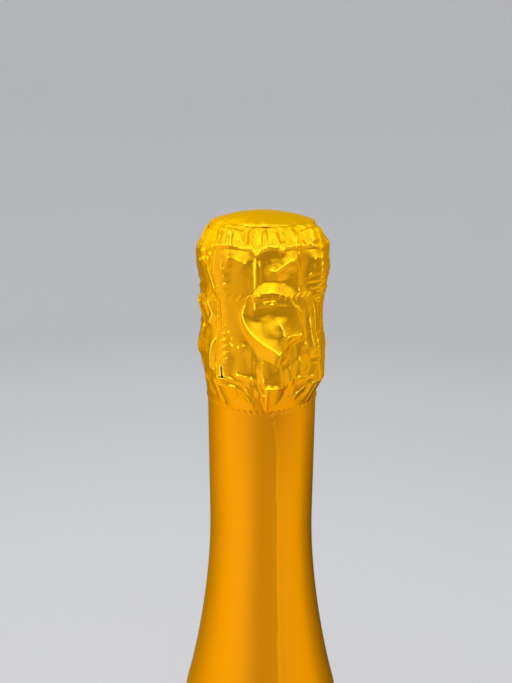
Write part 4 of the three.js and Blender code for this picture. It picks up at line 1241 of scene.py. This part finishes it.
def skirt_lift(azimuth, height, radius):
    """The smooth skirt: its overlap seam, faint waves and the perforations at its top."""
    distance, side, _ = along_line(SEAM, azimuth, height)
    overlap = 0.22 * np.exp(-distance / 4.0) * np.where(side > 0, 1.0, 0.0)
    edge = 0.08 * np.exp(-((distance / 0.35) ** 2))
    wave = 0.02 * np.sin(np.radians(3 * azimuth) + 0.05 * height)
    wave = wave + 0.012 * np.sin(np.radians(5 * azimuth) - 0.09 * height)
    near_tear = foil_lift(azimuth, height, radius) * ease(height, LOWER_TEAR - 1.5, LOWER_TEAR)
    return overlap + edge + wave + near_tear


tear_ring = (np.interp(UPPER_TEAR, *REST.T), UPPER_TEAR)
band_rest = [(radius, height) for height, radius in REST if height < UPPER_TEAR]
hood_rest = [(radius, height) for height, radius in REST if height > UPPER_TEAR]
flange = [(13.1, 327.85), (12.4, 328.1), (11.2, 328.5), (9.8, 328.95)]
band_profile = smooth_profile([*band_rest, tear_ring], ROW)
band_profile[:, 1] += np.linspace(LOWER_TEAR - band_profile[0, 1], 0, len(band_profile))
hood_profile = smooth_profile([tear_ring, *hood_rest, *flange], ROW)
neck_line = shoulder(0)
skirt_heights = np.concatenate([[LOWER_TEAR], np.linspace(LOWER_TEAR - 0.5, LOWER_TEAR - 4, 12),
                                np.linspace(LOWER_TEAR - 5, SKIRT_FOOT, 70)])
skirt_radii = np.interp(skirt_heights, neck_line[:, 1], neck_line[:, 0]) + SKIRT_GAP
skirt_profile = np.stack([skirt_radii, skirt_heights], -1)[::-1]
disc_profile = smooth_profile([
    (DISC_RADIUS, 327.75), (13.0, 328.15), (11.8, 328.75), (9.4, 329.6), (6.4, 330.25), (3.0, 330.7),
    (0.02, CAPSULE_TOP - 0.05),
], DISC_ROW)

band = foil_piece(
    "visual_tear_band", band_profile, "band", "tear_band", gold_foil, COLUMNS, band_lift, tear,
)
foil_piece("visual_foil_hood", hood_profile, "hood", "foil_hood", gold_foil, COLUMNS, hood_lift)
foil_piece(
    "visual_foil_top_disc", disc_profile, "hood", "foil_top_disc", gold_top, SKIRT_COLUMNS, disc_lift,
)
foil_piece("visual_neck_foil", skirt_profile, "bottle", "neck_foil", gold_skirt, SKIRT_COLUMNS, skirt_lift)
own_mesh(band)


# Camera

camera = bpy.data.objects.new("Camera", bpy.data.cameras.new("Camera"))
bpy.context.scene.collection.objects.link(camera)
camera.data.sensor_width = 36
camera.data.lens = CAMERA_LENS
camera.data.clip_start = 0.01
pitch = Matrix.Rotation(math.radians(90 - CAMERA_DOWN), 4, "X")
roll = Matrix.Rotation(math.radians(CAMERA_ROLL), 4, "Z")
camera.matrix_world = Matrix.Translation(Vector(CAMERA_PLACE) * MM) @ pitch @ roll
bpy.context.scene.camera = camera


# Floor, light tent and softbox

# Azimuths and brightness of the tent's panels, from its foot up
TENT_LOW = [
    (-180, 0.2), (-150, 0.36), (-130, 0.5), (-105, 0.72), (-80, 0.95), (-55, 1.03), (-35, 0.98),
    (-24, 0.86), (-12, 0.68), (0, 0.62), (20, 0.65), (33, 0.7), (37, 0.88), (60, 0.9), (85, 0.84),
    (105, 0.5), (130, 0.26), (150, 0.13), (180, 0.2),
]
TENT_HIGH = [
    (-180, 0.3), (-130, 0.5), (-100, 0.85), (-72, 1.08), (-52, 0.86), (-30, 0.76), (-10, 0.62), (10, 0.5),
    (30, 0.44), (60, 0.6), (90, 0.85), (120, 0.5), (180, 0.3),
]
TENT_EYE = [
    (-180, 0.6), (-120, 0.7), (-80, 1.0), (-50, 0.85), (-20, 0.44), (15, 0.36), (40, 0.44), (70, 0.65),
    (110, 0.5), (180, 0.6),
]
TENT_ROOF = [
    (-180, 0.9), (-125, 1.7), (-85, 1.0), (-48, 2.1), (-15, 1.15), (22, 2.1), (60, 1.1), (100, 1.7),
    (140, 0.9), (180, 0.9),
]
ROOF_TINT = (0.82, 1.0, 0.94)

# Heights in metres over which each row of panels gives way to the next
TENT_STEPS = [(0.13, 0.2), (0.26, 0.34), (0.36, 0.56)]


def tent_material():
    """A light tent: brightness by azimuth, in rows of panels that blend into each other."""
    made = bpy.data.materials.new("light tent")
    made.use_nodes = True
    tree = made.node_tree
    tree.nodes.clear()
    place = add_node(tree, "SeparateXYZ", {"Vector": add_node(tree, "TexCoord")["Object"]})
    angle = worked(tree, "ARCTAN2", place["X"], worked(tree, "MULTIPLY", place["Y"], -1))
    share = spread(tree, angle, -math.pi, math.pi, 0, 1)
    rows = []
    for panels in (TENT_LOW, TENT_HIGH, TENT_EYE, TENT_ROOF):
        ramp = tree.nodes.new("ShaderNodeValToRGB")
        tree.links.new(share, ramp.inputs["Fac"])
        stops = ramp.color_ramp.elements
        for azimuth, level in panels[1:-1]:
            stops.new((azimuth + 180) / 360).color = (level, level, level, 1)
        back = panels[0][1]
        stops[0].color = stops[len(stops) - 1].color = (back, back, back, 1)
        rows.append(ramp.outputs["Color"])
    rows[-1] = worked(tree, "MULTIPLY", rows[-1], ROOF_TINT, kind="VectorMath")
    shown = rows[0]
    for above, (foot, top) in zip(rows[1:], TENT_STEPS):
        shown = mixed(tree, spread(tree, place["Z"], foot, top, 0, 1), shown, above)
    glow = add_node(tree, "Emission", {"Color": shown})["Emission"]
    add_node(tree, "OutputMaterial", {"Surface": glow})
    return made


floor_look = material("pale floor", base_color=(0.72, 0.72, 0.73, 1), roughness=0.9)
floor_outline = joined(
    [(0.0, -0.5), (300.0, -0.5), (700.0, -0.5)],
    arc((1100.0, 499.5), 500.0, -90, 0, 24),
    [(1600.0, 1800.0)],
)
floor = add_piece("floor", *revolve(floor_outline, SMALL_LATHE), None, None, floor_look)
tent_outline = [(0.0, 705.0), (60.0, 700.0), (420.0, 500.0), (420.0, 331.0), (90.0, 1.2), (52.0, 1.0)]
tent = add_piece("light_tent", *revolve(tent_outline, SMALL_LATHE), None, None, tent_material())
tent.visible_camera = False
tent.visible_diffuse = False
tent.visible_shadow = False

softbox = bpy.data.objects.new("Softbox", bpy.data.lights.new("Softbox", "AREA"))
bpy.context.scene.collection.objects.link(softbox)
softbox.data.shape = "RECTANGLE"
softbox.data.size = softbox.data.size_y = SOFTBOX_SIZE
softbox.data.energy = SOFTBOX_POWER
softbox.location = SOFTBOX_PLACE
softbox.rotation_euler = (Vector(SOFTBOX_AIM) - softbox.location).to_track_quat("-Z", "Y").to_euler()

world = bpy.data.worlds.new("Studio")
world.use_nodes = True
background = world.node_tree.nodes["Background"]
background.inputs["Color"].default_value = SKY
background.inputs["Strength"].default_value = SKY_STRENGTH
bpy.context.scene.world = world
bpy.context.scene.view_settings.view_transform = "Standard"
